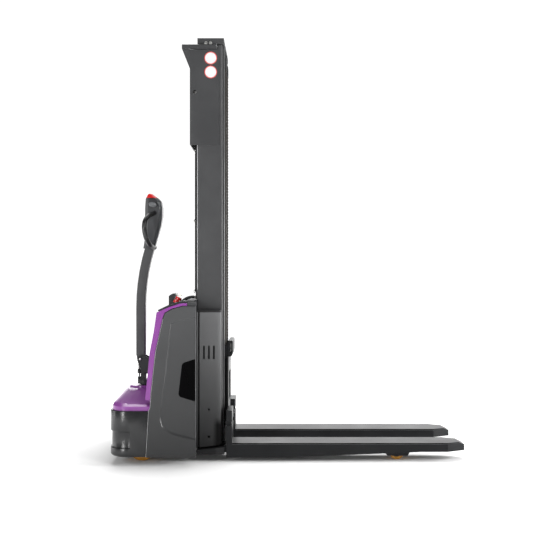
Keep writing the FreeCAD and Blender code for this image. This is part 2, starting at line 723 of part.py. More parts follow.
# Legs and wheels
def straddle_legs():
    y0, y1 = fork_y - leg_width / 2, fork_y + leg_width / 2
    start, end = load_x - wheel_window_half - cheek_overlap, load_x + cheek_half_length
    beam = box(outer_front + foot_nose, load_x - wheel_window_half, y0, y1, leg_bottom, leg_top)
    outline = [(start, leg_bottom), (load_x - cheek_half_length, leg_bottom),
               (load_x - cheek_half_length + cheek_slant, cheek_bottom), (end - cheek_slant, cheek_bottom),
               (end, leg_bottom + leg_nose_trim), (end, leg_top - leg_nose_trim), (end - cheek_slant, leg_top),
               (start, leg_top)]
    cheeks = [side_prism(outline, y0, y0 + wheel_cheek), side_prism(outline, y1 - wheel_cheek, y1)]
    nose = box(load_x + wheel_window_half, end - leg_nose_trim, y0, y1, leg_bottom + leg_nose_trim,
               leg_top - leg_nose_trim)
    axle = rod(load_axle_radius, (load_x, y0, load_wheel_radius), (load_x, y1, load_wheel_radius))
    leg = fused([beam, *cheeks, nose, axle])
    wheel = rounded_wheel(load_wheel_radius, load_axle_radius + shaft_gap, load_wheel_width,
                          (load_x, fork_y, load_wheel_radius), load_wheel_round)
    for name, sign in (("left", 1), ("right", -1)):
        save("leg_" + name, mirrored(leg, sign))
        save("load_wheel_" + name, mirrored(wheel, sign))


def castors():
    crown = 2 * castor_radius + wheel_top_gap
    wheel_x = castor_x - castor_trail
    inner = castor_width / 2 + castor_side_gap
    outer = inner + castor_plate
    nose = castor_x + castor_head_radius - castor_side_gap
    low = castor_radius - castor_arm_drop
    head = rod(castor_head_radius, (castor_x, castor_y, crown),
               (castor_x, castor_y, deck_bottom - castor_pad_height - fit_gap))
    top = box(wheel_x - castor_arm_half, nose, castor_y - outer, castor_y + outer, crown, crown + castor_plate)
    outline = [(wheel_x - castor_arm_half, low), (wheel_x + castor_arm_half, low), (nose, crown),
               (nose, crown + castor_plate), (wheel_x - castor_arm_half, crown + castor_plate)]
    arms = [side_prism(outline, castor_y - outer, castor_y - inner),
            side_prism(outline, castor_y + inner, castor_y + outer)]
    axle = rod(castor_axle_radius, (wheel_x, castor_y - outer, castor_radius),
               (wheel_x, castor_y + outer, castor_radius))
    fork = fused([head, top, *arms, axle])
    wheel = rounded_wheel(castor_radius, castor_axle_radius + shaft_gap, castor_width,
                          (wheel_x, castor_y, castor_radius), castor_round)
    for name, sign in (("left", 1), ("right", -1)):
        save("castor_fork_" + name, mirrored(fork, sign))
        save("castor_wheel_" + name, mirrored(wheel, sign))


# Chassis and body shell
def plan_wire(half, nose, radius, rear, height):
    # Plan of the body: straight sides, round front corners and a gently bowed front
    across = half - radius
    slant = radius * math.sqrt(0.5)
    back = nose + bow + radius
    left = [Vector(rear, half, height), Vector(back, half, height),
            Vector(back - slant, across + slant, height), Vector(back - radius, across, height)]
    right = [Vector(p.x, -p.y, p.z) for p in left]
    return Part.Wire([
        Part.LineSegment(left[0], left[1]).toShape(),
        Part.Arc(left[1], left[2], left[3]).toShape(),
        Part.Arc(left[3], Vector(nose, 0, height), right[3]).toShape(),
        Part.Arc(right[3], right[2], right[1]).toShape(),
        Part.LineSegment(right[1], right[0]).toShape(),
        Part.LineSegment(right[0], left[0]).toShape(),
    ])


def plan_slab(inset, rear, z0, z1):
    wire = plan_wire(body_half - inset, front_x + inset, corner_radius - inset, rear, z0)
    return Part.Face(wire).extrude(Vector(0, 0, z1 - z0))


def chassis():
    deck = plan_slab(shell_wall + fit_gap, bulkhead_front, deck_bottom, deck_top)
    deck = deck.cut(rod(ring_radius + fit_gap, (steer_x, 0, 0), (steer_x, 0, dome_top)))
    # The bulkhead stands between the side panels, and its narrower top between the skirts of the dash
    half = body_half - panel_plate - fit_gap
    top_half = dash_half - 2 * cover_wall - fit_gap
    shoulder = skirt_bottom - fit_gap
    bulkhead = [
        box(bulkhead_front, outer_rear, -half, half, panel_bottom + bulkhead_rise, shoulder),
        box(bulkhead_front, outer_rear, -top_half, top_half, shoulder, dash_top),
    ]
    pad = box(castor_x - castor_pad_half, castor_x + castor_pad_half, castor_y - castor_pad_half,
              castor_y + castor_pad_half, deck_bottom - castor_pad_height, deck_bottom)
    stay_y = body_half - stay_inset
    stay = box(bulkhead_front - stay_length, bulkhead_front, stay_y, stay_y + stay_plate,
               deck_bottom - stay_height, deck_bottom)
    save("chassis_frame", fused([deck, *bulkhead, *both_sides(pad), *both_sides(stay)]))
    # The battery and the hydraulic unit stand on the deck, against the bulkhead
    length, width, height = battery_size
    rear = bulkhead_front - fit_gap
    save("battery", box(rear - length, rear, block_gap - width / 2 - pump_size[1] / 2 - block_gap,
                        width / 2 - pump_size[1] / 2 - block_gap, deck_top, deck_top + height))
    length, width, height = pump_size
    side = battery_size[1] / 2 - width / 2
    save("hydraulic_unit", box(rear - length, rear, side, side + width, deck_top, deck_top + height))


def bumper():
    outer = plan_slab(0, body_rear, panel_bottom, bumper_top)
    low_edges = []
    for edge in outer.Edges:
        bounds = edge.BoundBox
        if bounds.ZMax < panel_bottom + cut_margin and bounds.XMin < body_rear - cut_margin:
            low_edges.append(edge)
    outer = outer.makeChamfer(bumper_chamfer, low_edges)
    shell = outer.cut(plan_slab(shell_wall, body_rear + cut_margin, 0, body_height))
    # The band is cut in round the front and ends a little behind the corners
    band_end = front_x + bow + band_length
    band = plan_slab(-cut_margin, band_end, band_bottom, band_top)
    shell = shell.cut(band.cut(plan_slab(band_depth, band_end + cut_margin, 0, body_height)))
    (low_x, low_z), (high_x, _) = PANEL_EDGE[0], PANEL_EDGE[1]
    low, high, rear = low_z - cut_margin, bumper_top + cut_margin, body_rear + cut_margin
    behind = side_prism([(low_x - seam, low), (high_x - seam, high), (rear, high), (rear, low)],
                        -body_half - cut_margin, body_half + cut_margin)
    save("front_bumper", shell.cut(behind))


def hood():
    rear = PANEL_EDGE[2][0] + hood_overlap
    shapes = []
    for wall in (0.0, hood_wall):
        wires = []
        for height, share in HOOD_SECTIONS:
            half = (body_half - hood_inset) * (1 - share) + hood_crest_half * share - wall
            nose = (front_x + hood_inset) * (1 - share) + (steer_x - hood_crest_lead) * share + wall
            radius = (corner_radius - hood_inset) * (1 - share) + hood_crest_radius * share - wall
            wires.append(plan_wire(half, nose, radius, rear - wall, height * body_height - wall + fit_gap))
        shapes.append(Part.makeLoft(wires, True, True))
    solid, core = shapes
    dome_foot = hood_top - 6 * hood_wall
    dome = ring(dome_radius, dome_hole, (steer_x, 0, dome_foot), (steer_x, 0, dome_top))
    dome_core = ring(dome_radius - hood_wall, dome_hole, (steer_x, 0, dome_foot),
                     (steer_x, 0, dome_top - hood_wall))
    shell = solid.fuse(dome).cut(core).cut(dome_core)
    shell = shell.cut(rod(dome_hole, (steer_x, 0, 0), (steer_x, 0, dome_top + cut_margin)))
    # Room for the side panels, which overlap the hood's rear corners
    panel = side_prism([PANEL_EDGE[1], PANEL_EDGE[2], PANEL_EDGE[3], (body_rear, PANEL_EDGE[3][1]),
                        (body_rear, PANEL_EDGE[1][1])], body_half - panel_plate - seam, body_half)
    for one in both_sides(panel):
        shell = shell.cut(one)
    save("hood", shell.removeSplitter())


def front_cover():
    # The middle of the cover is dished between two raised rims
    foot = (PANEL_EDGE[2][0] + hood_overlap + seam, hood_top - 2 * hood_wall)
    head = (PANEL_EDGE[5][0] + 2 * cover_wall, PANEL_EDGE[5][1])
    brow = (RIM_EDGE[4][0] + 2 * cover_wall, dash_nose - fit_gap)
    middle = [foot, head, brow, (brow[0] + 2 * cover_wall, brow[1]),
              (head[0] + cover_wall, head[1] + cover_wall / 2), (foot[0] + cover_wall, foot[1])]
    inner_edge = [(x - seam, z + seam) for x, z in PANEL_EDGE[3:]]
    inner_edge.insert(0, (inner_edge[0][0] - 2 * seam, rim_bottom))
    inner_edge.append((RIM_EDGE[-1][0], inner_edge[-1][1]))
    rim = side_prism([*RIM_EDGE, *reversed(inner_edge)], rim_half, body_half - rim_side_inset)
    wall = side_prism([*RIM_EDGE[:5], brow, head, (foot[0], rim_bottom)], rim_half - cover_wall, rim_half)
    save("front_cover", fused([side_prism(middle, -rim_half, rim_half), *both_sides(rim), *both_sides(wall)]))


def hose(y, radius):
    points = [(heel_x - back, y, dash_top + up) for back, up in HOSE_ROUTE]
    return tube_along(points, radius)


def dash():
    lower = [(x, z - dash_plate) for x, z in DASH_EDGE[2:]]
    nose_inner = (DASH_EDGE[0][0] + dash_plate, DASH_EDGE[0][1])
    rear = bulkhead_front - fit_gap
    lid = side_prism([*DASH_EDGE, (rear, dash_top), (rear, dash_top - dash_plate), *reversed(lower), nose_inner],
                     -dash_half + cover_wall, dash_half - cover_wall)
    skirt = box(RIM_EDGE[-1][0] + seam, body_rear, dash_half - 2 * cover_wall, body_half - rim_side_inset,
                skirt_bottom, skirt_bottom + dash_skirt)
    pod = side_prism(POD_EDGE, -pod_half, pod_half)
    tray = fused([lid, pod, *both_sides(skirt)])
    for y in hose_ys:
        tray = tray.cut(hose(y, hose_radius + fit_gap))
    save("dash", tray)
    save("mast_hoses", *[hose(y, hose_radius) for y in hose_ys])
    # Emergency stop: a base in the dash, a stem and a mushroom cap, leaning towards the mast
    x, z = station(0.486, 1.0115)
    parts = []
    for radius, low, high in STOP_PARTS:
        parts.append(rod(radius, (x + 0.5 * low, stop_y, z + low), (x + 0.5 * high, stop_y, z + high)))
    stop = fused(parts).cut(tray)
    save("emergency_stop", max(stop.Solids, key=lambda solid: solid.Volume))


def side_panels():
    outline = [*PANEL_EDGE, (body_rear, PANEL_EDGE[-1][1]), (body_rear, panel_bottom)]
    plate = side_prism(outline, body_half - panel_plate, body_half)
    middle_x = sum(x for x, _ in POCKET_EDGE) / len(POCKET_EDGE)
    middle_z = sum(z for _, z in POCKET_EDGE) / len(POCKET_EDGE)
    rim, floor = [], []
    for x, z in POCKET_EDGE:
        reach = math.hypot(x - middle_x, z - middle_z)
        shrink = 1 - pocket_slope / reach if x < body_rear else 1
        rim.append(Vector(x, body_half, z))
        floor.append(Vector(middle_x + (x - middle_x) * shrink, body_half - pocket_depth,
                            middle_z + (z - middle_z) * (1 - pocket_slope / reach)))
    wires = [Part.makePolygon([*points, points[0]]) for points in (rim, floor)]
    plate = plate.cut(Part.makeLoft(wires, True, True))
    save("side_panels", *both_sides(plate))


# Drive, steering post and tiller
def drive():
    half = drive_wheel_width / 2
    yoke = 2 * drive_wheel_radius + wheel_top_gap
    ring_top = deck_top + ring_height
    gear_y = half + gear_gap
    pieces = [
        rod(ring_radius + ring_flange, (steer_x, 0, deck_top + fit_gap), (steer_x, 0, ring_top)),
        rod(ring_radius, (steer_x, 0, yoke), (steer_x, 0, ring_top)),
        box(steer_x - gear_half, steer_x + gear_half, gear_y, gear_y + gear_thickness, gear_bottom,
            yoke + wheel_top_gap),
        rod(motor_radius, (steer_x, 0, ring_top), (steer_x, 0, dome_top - motor_top_gap)),
        rod(drive_axle_radius, (steer_x, gear_y, drive_wheel_radius),
            (steer_x, drive_hub_inset - half, drive_wheel_radius)),
    ]
    save("drive_unit", fused(pieces))
    middle = (steer_x, 0, drive_wheel_radius)
    save("drive_tyre", rounded_wheel(drive_wheel_radius, drive_hub_radius, drive_wheel_width, middle,
                                     drive_wheel_round))
    hub_half = half - drive_hub_inset
    save("drive_hub", ring(drive_hub_radius, drive_axle_radius + shaft_gap,
                           (steer_x, -hub_half, drive_wheel_radius), (steer_x, hub_half, drive_wheel_radius)))


def steering_post():
    inner = arm_width / 2 + ear_gap
    outer = inner + ear_plate
    pieces = [
        rod(post_radius, (steer_x, 0, dome_top - motor_top_gap), (steer_x, 0, post_flange_top)),
        rod(post_flange_radius, (steer_x, 0, post_flange_bottom), (steer_x, 0, post_flange_top)),
        box(steer_x - post_radius, steer_x + seam, -outer, outer, post_flange_top, pivot_z - post_block_top),
        box(steer_x - 0.7 * post_radius, steer_x + 0.9 * post_radius, -inner, inner, pivot_z - post_neck_bottom,
            pivot_z - post_neck_top),
        rod(pin_radius, (pivot_x, -outer - pin_reach, pivot_z), (pivot_x, outer + pin_reach, pivot_z)),
    ]
    ear = side_prism([(pivot_x + ahead, pivot_z + up) for ahead, up in EAR_EDGE], inner, outer)
    save("steering_post", fused([*pieces, *both_sides(ear)]))
    # The return spring's rod and its adjusting knob stand ahead of the post
    x = pivot_x - spring_lead
    spring = [
        rod(spring_rod_radius, (x, 0, post_flange_top), (x, 0, pivot_z - spring_rod_drop)),
        rod(spring_knob_radius, (x, 0, pivot_z - post_neck_bottom), (x, 0, pivot_z - post_block_top)),
        box(x, steer_x - post_radius, -spring_rod_radius, spring_rod_radius, pivot_z - post_neck_bottom + seam,
            pivot_z - post_block_top - seam),
    ]
    save("tiller_spring", fused(spring))


def tiller_arm():
    # A straight lower length, then a gentle bend back over the body
    depth, half = arm_depth / 2, arm_width / 2
    bend_start = pivot_z + arm_straight
    turn = (arm_length - arm_straight) / arm_bend_radius
    centre_x = pivot_x + arm_bend_radius
    front, rear = [(pivot_x - depth, pivot_z + arm_foot)], [(pivot_x + depth, pivot_z + arm_foot)]
    for step in range(arm_bend_steps + 1):
        angle = turn * step / arm_bend_steps
        for side, radius in ((front, arm_bend_radius + depth), (rear, arm_bend_radius - depth)):
            side.append((centre_x - radius * math.cos(angle), bend_start + radius * math.sin(angle)))
    bar = side_prism([*front, *reversed(rear)], -half, half)
    eye = rod(eye_radius, (pivot_x, -half, pivot_z), (pivot_x, half, pivot_z))
    foot = side_prism([(pivot_x - eye_radius, pivot_z), (pivot_x + eye_radius, pivot_z),
                       (pivot_x + depth, pivot_z + arm_foot), (pivot_x - depth, pivot_z + arm_foot)], -half, half)
    bore = rod(pin_radius + shaft_gap, (pivot_x, -half, pivot_z), (pivot_x, half, pivot_z))
    return fused([bar, eye, foot]).cut(bore)


def head_wire(height, rear, front, half):
    # Section of the tiller's head, a rectangle with cut corners
    corner = min(half * 0.45, (front - rear) * 0.3, head_corner)
    points = [(rear + corner, -half), (front - corner, -half), (front, corner - half), (front, half - corner),
              (front - corner, half), (rear + corner, half), (rear, half - corner), (rear, corner - half)]
    points = [Vector(steer_x + x, y, height) for x, y in points]
    return Part.makePolygon([*points, points[0]])


def tiller():
    arm = tiller_arm()
    save("tiller_arm", arm)
    wires = []
    for height, rear, front, half in HEAD_SECTIONS:
        wires.append(head_wire(head_base + height * head_length, rear * head_depth, front * head_depth,
                               half * head_half))
    head = Part.makeLoft(wires, True, True).cut(arm)
    save("tiller_head", head)
    height, rear, front, half = HEAD_SECTIONS[-1]
    top = head_base + height * head_length
    low = head_wire(top + fit_gap, rear * head_depth, front * head_depth, half * head_half)
    high = head_wire(top + button_height, 0.2 * head_depth, 0.4 * head_depth, 0.64 * head_half)
    save("reverse_button", Part.makeLoft([low, high], True, True))
    # Closed loops for the hands, from the side of the head and back into it
    loop = [(steer_x + x * head_depth, y * grip_reach, head_base + z * head_length) for x, y, z in HAND_LOOP]
    grip = tube_along(loop, grip_radius).cut(head).cut(arm)
    grip = max(grip.Solids, key=lambda solid: solid.Volume)
    save("grips", *both_sides(grip))
    x, z = steer_x + head_depth / 2, top - paddle_drop
    paddle = rod(paddle_radius, (x, head_half / 2, z), (x, paddle_reach, z)).cut(head)
    save("speed_paddles", *both_sides(paddle))


def main():
    outer_mast()
    guard_screen()
    shroud_and_shelf()
    mast_covers()
    lift_cylinders()
    inner_mast()
    chains()
    carriage()
    straddle_legs()
    castors()
    chassis()
    bumper()
    hood()
    front_cover()
    dash()
    side_panels()
    drive()
    steering_post()
    tiller()


main()
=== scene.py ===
# %% [markdown]
# # A walk-behind stacker, dressed for its studio picture
#
# The solids of the truck come packed, in metres, with +X towards the fork tips and +Z up. This lesson gives
# them rounded edges, finishes and small fittings. Every new mesh starts from a bmesh operator, every finish is
# a tree of shader nodes, and every piece rides on the body that carries it on the real truck.

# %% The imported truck
import math

import bmesh
import bpy
from mathutils import Matrix, Vector
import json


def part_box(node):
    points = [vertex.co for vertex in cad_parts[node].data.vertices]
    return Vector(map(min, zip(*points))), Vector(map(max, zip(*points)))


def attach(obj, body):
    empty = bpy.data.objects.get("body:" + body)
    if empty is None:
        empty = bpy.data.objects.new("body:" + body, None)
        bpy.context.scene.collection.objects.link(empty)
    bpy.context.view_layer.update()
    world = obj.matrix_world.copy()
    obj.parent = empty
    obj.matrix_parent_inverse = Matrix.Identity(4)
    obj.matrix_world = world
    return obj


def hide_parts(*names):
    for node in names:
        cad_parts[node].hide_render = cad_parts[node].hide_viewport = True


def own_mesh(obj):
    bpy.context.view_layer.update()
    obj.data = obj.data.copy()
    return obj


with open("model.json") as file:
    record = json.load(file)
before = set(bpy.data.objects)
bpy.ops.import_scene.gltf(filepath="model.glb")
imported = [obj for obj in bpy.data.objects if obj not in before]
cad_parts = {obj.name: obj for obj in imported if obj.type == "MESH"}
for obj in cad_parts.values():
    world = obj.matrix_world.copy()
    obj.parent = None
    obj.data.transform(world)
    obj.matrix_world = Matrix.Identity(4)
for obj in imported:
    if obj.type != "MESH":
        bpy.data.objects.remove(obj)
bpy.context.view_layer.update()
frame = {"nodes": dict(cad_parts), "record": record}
cad = frame["nodes"]
scene = bpy.context.scene
body_of = {node: body for body, nodes in frame["record"]["behaviour"]["bodies"].items() for node in nodes}
slot_of = {part["node"]: part["material_slot"] for part in frame["record"]["subparts"]}

# %% [markdown]
# ## Camera
#
# The picture is a long, level view square to the truck's right side. The eye is almost five metres away and a
# little under a metre above the floor, so the near forks and wheels show with very little of their tops.

# %% Camera
camera = bpy.data.objects.new("camera", bpy.data.cameras.new("camera"))
camera.data.sensor_width = 36
camera.data.lens = 61.07
camera.location = (-0.090, -4.78, 0.94)
camera.rotation_euler = (math.radians(90), 0, 0)
scene.collection.objects.link(camera)
scene.camera = camera
print("camera at", tuple(camera.location), "with a lens of", camera.data.lens, "mm")

# %% [markdown]
# ## Studio
#
# Catalogue pictures use white paper that runs on behind the object. A wide pale floor gives the same, as it fades
# into a sky that is white to the camera. Every other ray meets a dim sky, so the dark paint keeps its depth, and
# six soft lamps light the truck. The tall strips beside it draw the long highlights on the mast and the bumper.

# %% Studio
SKY_SEEN, SKY_ELSEWHERE = 1.1, 0.15
world = bpy.data.worlds.new("studio")
world.use_nodes = True
background = world.node_tree.nodes["Background"]
background.inputs["Color"].default_value = (1, 1, 1, 1)
ray = world.node_tree.nodes.new("ShaderNodeLightPath")
sky = world.node_tree.nodes.new("ShaderNodeMapRange")
sky.inputs["To Min"].default_value = SKY_ELSEWHERE
sky.inputs["To Max"].default_value = SKY_SEEN
world.node_tree.links.new(ray.outputs["Is Camera Ray"], sky.inputs["Value"])
world.node_tree.links.new(sky.outputs["Result"], background.inputs["Strength"])
scene.world = world
scene.view_settings.view_transform = "Standard"

# Name, place, point to aim at, width and height, watts
LAMPS = (
    ("top_light", (0.1, 1.5, 4.4), (0, 0, 0.2), (4.6, 3.2), 260),
    ("key_light", (2.4, -3.4, 3.0), (-0.2, 0, 0.8), (1.2, 1.2), 80),
    ("left_strip", (-2.75, -3.35, 1.2), (-0.8, -0.3, 0.5), (0.22, 2.6), 95),
    ("far_left_strip", (-4.0, 0.2, 1.3), (-0.6, 0, 0.9), (0.6, 2.6), 22),
    ("right_strip", (3.9, -0.7, 1.4), (-0.1, 0, 1.0), (0.7, 2.8), 230),
    ("back_panel", (0.2, 5.0, 1.2), (0, 0, 0.2), (6.0, 1.6), 75),
)
for name, place, aim, size, power in LAMPS:
    light = bpy.data.objects.new(name, bpy.data.lights.new(name, "AREA"))
    light.data.shape = "RECTANGLE"
    light.data.size, light.data.size_y = size
    light.data.energy = power
    light.location = place
    light.rotation_euler = (Vector(aim) - Vector(place)).to_track_quat("-Z", "Y").to_euler()
    scene.collection.objects.link(light)
print(len(LAMPS), "lamps")

# %% [markdown]
# ## Sums that make shader nodes
#
# A finish is a small sum: noise times a depth, or one minus a mask. Wrapping a socket in a class with the usual
# operators lets the sum be written as one, and each operator adds its own Math node to the tree.


# %% Sums that make shader nodes
class Wire:
    """A socket in a shader tree, which can be used in sums like a number."""

    def __init__(self, finish, socket):
        self.finish, self.socket = finish, socket

    def math(self, operation, *values):
        return self.finish.node("Math", {"operation": operation}, *values)

    def __add__(self, other):
        return self.math("ADD", self, other)

    def __rsub__(self, other):
        return self.math("SUBTRACT", other, self)

    def __mul__(self, other):
        return self.math("MULTIPLY", self, other)

    def between(self, low, high):
        # 0 below low, 1 above high, and a ramp from one to the other
        return self.finish.node("MapRange", {"clamp": True}, self, low, high)


class Finish:
    """A material and its node tree. Constants are set on the shader's own sockets."""

    def __init__(self, name, **constants):
        self.material = bpy.data.materials.new(name)
        self.material.use_nodes = True
        self.tree = self.material.node_tree
        self.shader = self.tree.nodes["Principled BSDF"]
        for socket, value in constants.items():
            self.set(socket.replace("_", " "), value)
        self.place = self.node("TexCoord", {}, out="Object")

    def node(self, kind, settings, *values, out=0, **named):
        made = self.tree.nodes.new("ShaderNode" + kind)
        for key, value in settings.items():
            setattr(made, key, value)
        inputs = {**dict(enumerate(values)), **{key.replace("_", " "): value for key, value in named.items()}}
        for key, value in inputs.items():
            if isinstance(value, Wire):
                self.tree.links.new(value.socket, made.inputs[key])
            else:
                made.inputs[key].default_value = value
        return Wire(self, made.outputs[out])

    def set(self, socket, value):
        if isinstance(value, Wire):
            self.tree.links.new(value.socket, self.shader.inputs[socket])
        else:
            self.shader.inputs[socket].default_value = value

    def axis(self, name):
        return self.node("SeparateXYZ", {}, self.place, out=name)

    def stretched(self, *scale):
        return self.node("Mapping", {}, self.place, Scale=scale)

    def noise(self, scale, detail=3.0, place=None):
        return self.node("TexNoise", {}, Vector=place or self.place, Scale=scale, Detail=detail)

    def mix(self, share, first, second):
        # Sockets 6 and 7 of a colour Mix node are its two colours, and its third output is the mixed colour
        made = self.node("Mix", {"data_type": "RGBA", "clamp_factor": True}, share, out=2)
        for index, colour in ((6, first), (7, second)):
            if isinstance(colour, Wire):
                self.tree.links.new(colour.socket, made.socket.node.inputs[index])
            else:
                made.socket.node.inputs[index].default_value = (*colour, 1)
        return made

    def bump(self, height, depth):
        self.set("Normal", self.node("Bump", {}, Height=height, Distance=depth, Strength=1.0))


print("sums ready")

# %% [markdown]
# ## Painted steel and moulded plastic
#
# The mast, shroud and legs are powder coated. Seen close, that paint has the skin of an orange: soft bumps about a
# millimetre apart. The body's panels are moulded, with a fine even leather grain instead, made of round cells.
# Dust dulls both in wide clouds, so the roughness wanders too. Both look darker towards the floor, where less of
# the white studio reaches them, and their colour gets that as painted shade, which at the foot of the mast is a
# deep painted shadow. One lower corner of each mast cover gets a soft painted shadow too.

# %% Painted steel and moulded plastic
# The colour of a painted shadow on the mast's covers, and how soft its edges are across X and up Z
SHADOW_TONE, SHADOW_TONE_BLUR_X, SHADOW_TONE_BLUR_Z = (0.0012, 0.0012, 0.0013), 0.011, 0.018


def clouded(finish, clouds, colour, gain, lift):
    # The colour itself, and a lighter one where the clouds are thick
    light = tuple(min(1.0, c * gain + lift) for c in colour)
    return finish.mix(clouds.between(0.35, 0.65), colour, light)


def floor_shaded(finish, tone, colour, floor_shade, low, high):
    # Painted shade: the tone from the height high upwards, and down to the height low it loses the given share of
    # its colour
    dark = tuple(c * (1 - floor_shade) for c in colour)
    return finish.mix(finish.axis("Z").between(low, high), dark, tone)


def painted(name, colour, rough=0.42, floor_shade=0.0, floor_shade_low=0.05, floor_shade_top=0.8, peel=0.00012, shine=0.3, shadow_patch=None):
    finish = Finish(name, Specular_IOR_Level=shine)
    clouds = finish.noise(7.0, 4.0)
    skin = finish.noise(850.0, 2.0)
    wander = 0.14
    finish.set("Roughness", clouds * wander + (rough - wander / 2))
    tone = clouded(finish, clouds, colour, 1.10, 0.002)
    # Painted shade, darker towards the floor
    if floor_shade:
        tone = floor_shaded(finish, tone, colour, floor_shade, floor_shade_low, floor_shade_top)
    if shadow_patch:
        # A painted shadow: a soft dark patch ahead of and under a corner, where the leg shades it, given in X and
        # Z
        x, z = shadow_patch
        ahead = finish.axis("X").between(x - SHADOW_TONE_BLUR_X, x + SHADOW_TONE_BLUR_X)
        under = 1 - finish.axis("Z").between(z - SHADOW_TONE_BLUR_Z, z + SHADOW_TONE_BLUR_Z)
        tone = finish.mix(ahead * under, tone, SHADOW_TONE)
    finish.set("Base Color", tone)
    finish.bump(skin, peel)
    return finish.material


def moulded(name, colour, rough=0.38, grain=0.0001, coat=0.0, floor_shade=0.0, floor_shade_top=0.8, shine=0.3):
    finish = Finish(name, Coat_Weight=coat, Coat_Roughness=0.12, Specular_IOR_Level=shine)
    cells = finish.node("TexVoronoi", {}, Vector=finish.place, Scale=620.0, out="Distance")
    clouds = finish.noise(5.0, 3.0)
    wander = 0.1
    finish.set("Roughness", clouds * wander + (rough - wander / 2))
    tone = clouded(finish, clouds, colour, 1.08, 0.001)
    # Painted shade, darker towards the floor
    if floor_shade:
        tone = floor_shaded(finish, tone, colour, floor_shade, 0.05, floor_shade_top)
    finish.set("Base Color", tone)
    finish.bump(cells, grain)
    return finish.material


# Painted shade low down on the mast, covers and panels; on the mast it is a deep painted shadow below 0.31 m
mast_paint = painted("mast_paint", (0.042, 0.0425, 0.044), floor_shade=0.92, floor_shade_low=0.24, floor_shade_top=0.31)
# The covers also get a painted shadow in the lower corner nearest the forks
cover_paint = painted("cover_paint", (0.165, 0.166, 0.169), floor_shade=0.86, floor_shade_top=0.75, shine=0.1,
                      shadow_patch=(-0.362, 0.196))
shroud_paint = painted("shroud_paint", (0.036, 0.0365, 0.038))
foot_paint = painted("foot_paint", (0.020, 0.0203, 0.021), rough=0.6, shine=0.06)
dark_paint = painted("dark_paint", (0.010, 0.0103, 0.011), rough=0.5)
leg_paint = painted("leg_paint", (0.010, 0.0104, 0.0112), rough=0.36, shine=0.12)
panel_plastic = moulded("panel_plastic", (0.048, 0.049, 0.0505), rough=0.36, floor_shade=0.60, floor_shade_top=0.75, shine=0.35)
bumper_plastic = moulded("bumper_plastic", (0.008, 0.0083, 0.009), rough=0.25, shine=0.5)
dash_plastic = moulded("dash_plastic", (0.030, 0.0305, 0.032), rough=0.42, grain=0.00014)
purple_plastic = moulded("purple_plastic", (0.185, 0.036, 0.225), rough=0.30, grain=0.00003, coat=0.35)
tiller_paint = painted("tiller_paint", (0.042, 0.0425, 0.044))
head_plastic = moulded("head_plastic", (0.022, 0.023, 0.0255), rough=0.34, shine=0.45)
grip_plastic = moulded("grip_plastic", (0.010, 0.010, 0.0105), rough=0.30, shine=0.45)
paddle_plastic = moulded("paddle_plastic", (0.10, 0.105, 0.11), rough=0.30, shine=0.5)
red_plastic = moulded("red_plastic", (0.50, 0.010, 0.010), rough=0.34, grain=0.00002, coat=0.1)
print(len(bpy.data.materials), "finishes so far")

# %% [markdown]
# ## Metals, rubber and clear sheet
#
# Zinc plating has small bright crystals, ground steel has fine lines, hard chrome is a mirror and chain steel is
# dark with oil. The amber wheels are cast polyurethane, which lets a little light in under its skin.


# %% Metals, rubber and clear sheet
def metal(name, colour, rough, grain_scale=(40, 40, 40), depth=0.00005, spots=0.15):
    finish = Finish(name, Metallic=1.0)
    grain = finish.noise(12.0, 4.0, finish.stretched(*grain_scale))
    finish.set("Roughness", grain * spots + (rough - spots / 2))
    finish.set("Base Color", finish.mix(grain, tuple(c * 0.8 for c in colour), colour))
    finish.bump(grain, depth)
    return finish.material


zinc = metal("zinc", (0.72, 0.72, 0.70), 0.34)
ground_steel = metal("ground_steel", (0.52, 0.52, 0.53), 0.30, (8, 8, 90))
hard_chrome = metal("hard_chrome", (0.80, 0.80, 0.82), 0.09, (20, 20, 20), 0.00001, 0.04)
chain_steel = metal("chain_steel", (0.17, 0.16, 0.15), 0.42)
brass = metal("brass", (0.72, 0.52, 0.20), 0.28)
iron = painted("iron", (0.05, 0.05, 0.052), rough=0.55, peel=0.0004)

rubber_finish = Finish("rubber", Base_Color=(0.012, 0.012, 0.0125, 1), IOR=1.5)
speckle = rubber_finish.noise(420.0, 2.0)
rubber_finish.set("Roughness", speckle * 0.12 + 0.52)
rubber_finish.bump(speckle, 0.00012)
rubber = rubber_finish.material

amber_finish = Finish("amber", Subsurface_Weight=0.15, Subsurface_Radius=(0.012, 0.006, 0.002), IOR=1.5)
swirl = amber_finish.noise(30.0, 4.0)
amber_finish.set("Base Color", amber_finish.mix(swirl, (0.40, 0.17, 0.012), (0.50, 0.245, 0.022)))
amber_finish.set("Roughness", swirl * 0.2 + 0.24)
amber_finish.bump(amber_finish.noise(260.0, 2.0), 0.00008)
amber = amber_finish.material

clear_finish = Finish("clear", Base_Color=(0.93, 0.96, 0.97, 1), Transmission_Weight=1.0, IOR=1.49)
haze = clear_finish.noise(9.0, 4.0)
clear_finish.set("Roughness", haze.between(0.55, 0.9) * 0.05 + 0.01)
clear = clear_finish.material


def film(name, colour, rough=0.3, shine=0.5):
    # A printed film, a lens, and the flat tones of the painted highlight and shade lines: nearly smooth, with a
    # faint mottle
    finish = Finish(name, Specular_IOR_Level=shine)
    mottle = finish.noise(140.0, 2.0)
    finish.set("Base Color", finish.mix(mottle, tuple(c * 0.94 for c in colour), colour))
    finish.set("Roughness", mottle * 0.08 + rough)
    return finish.material


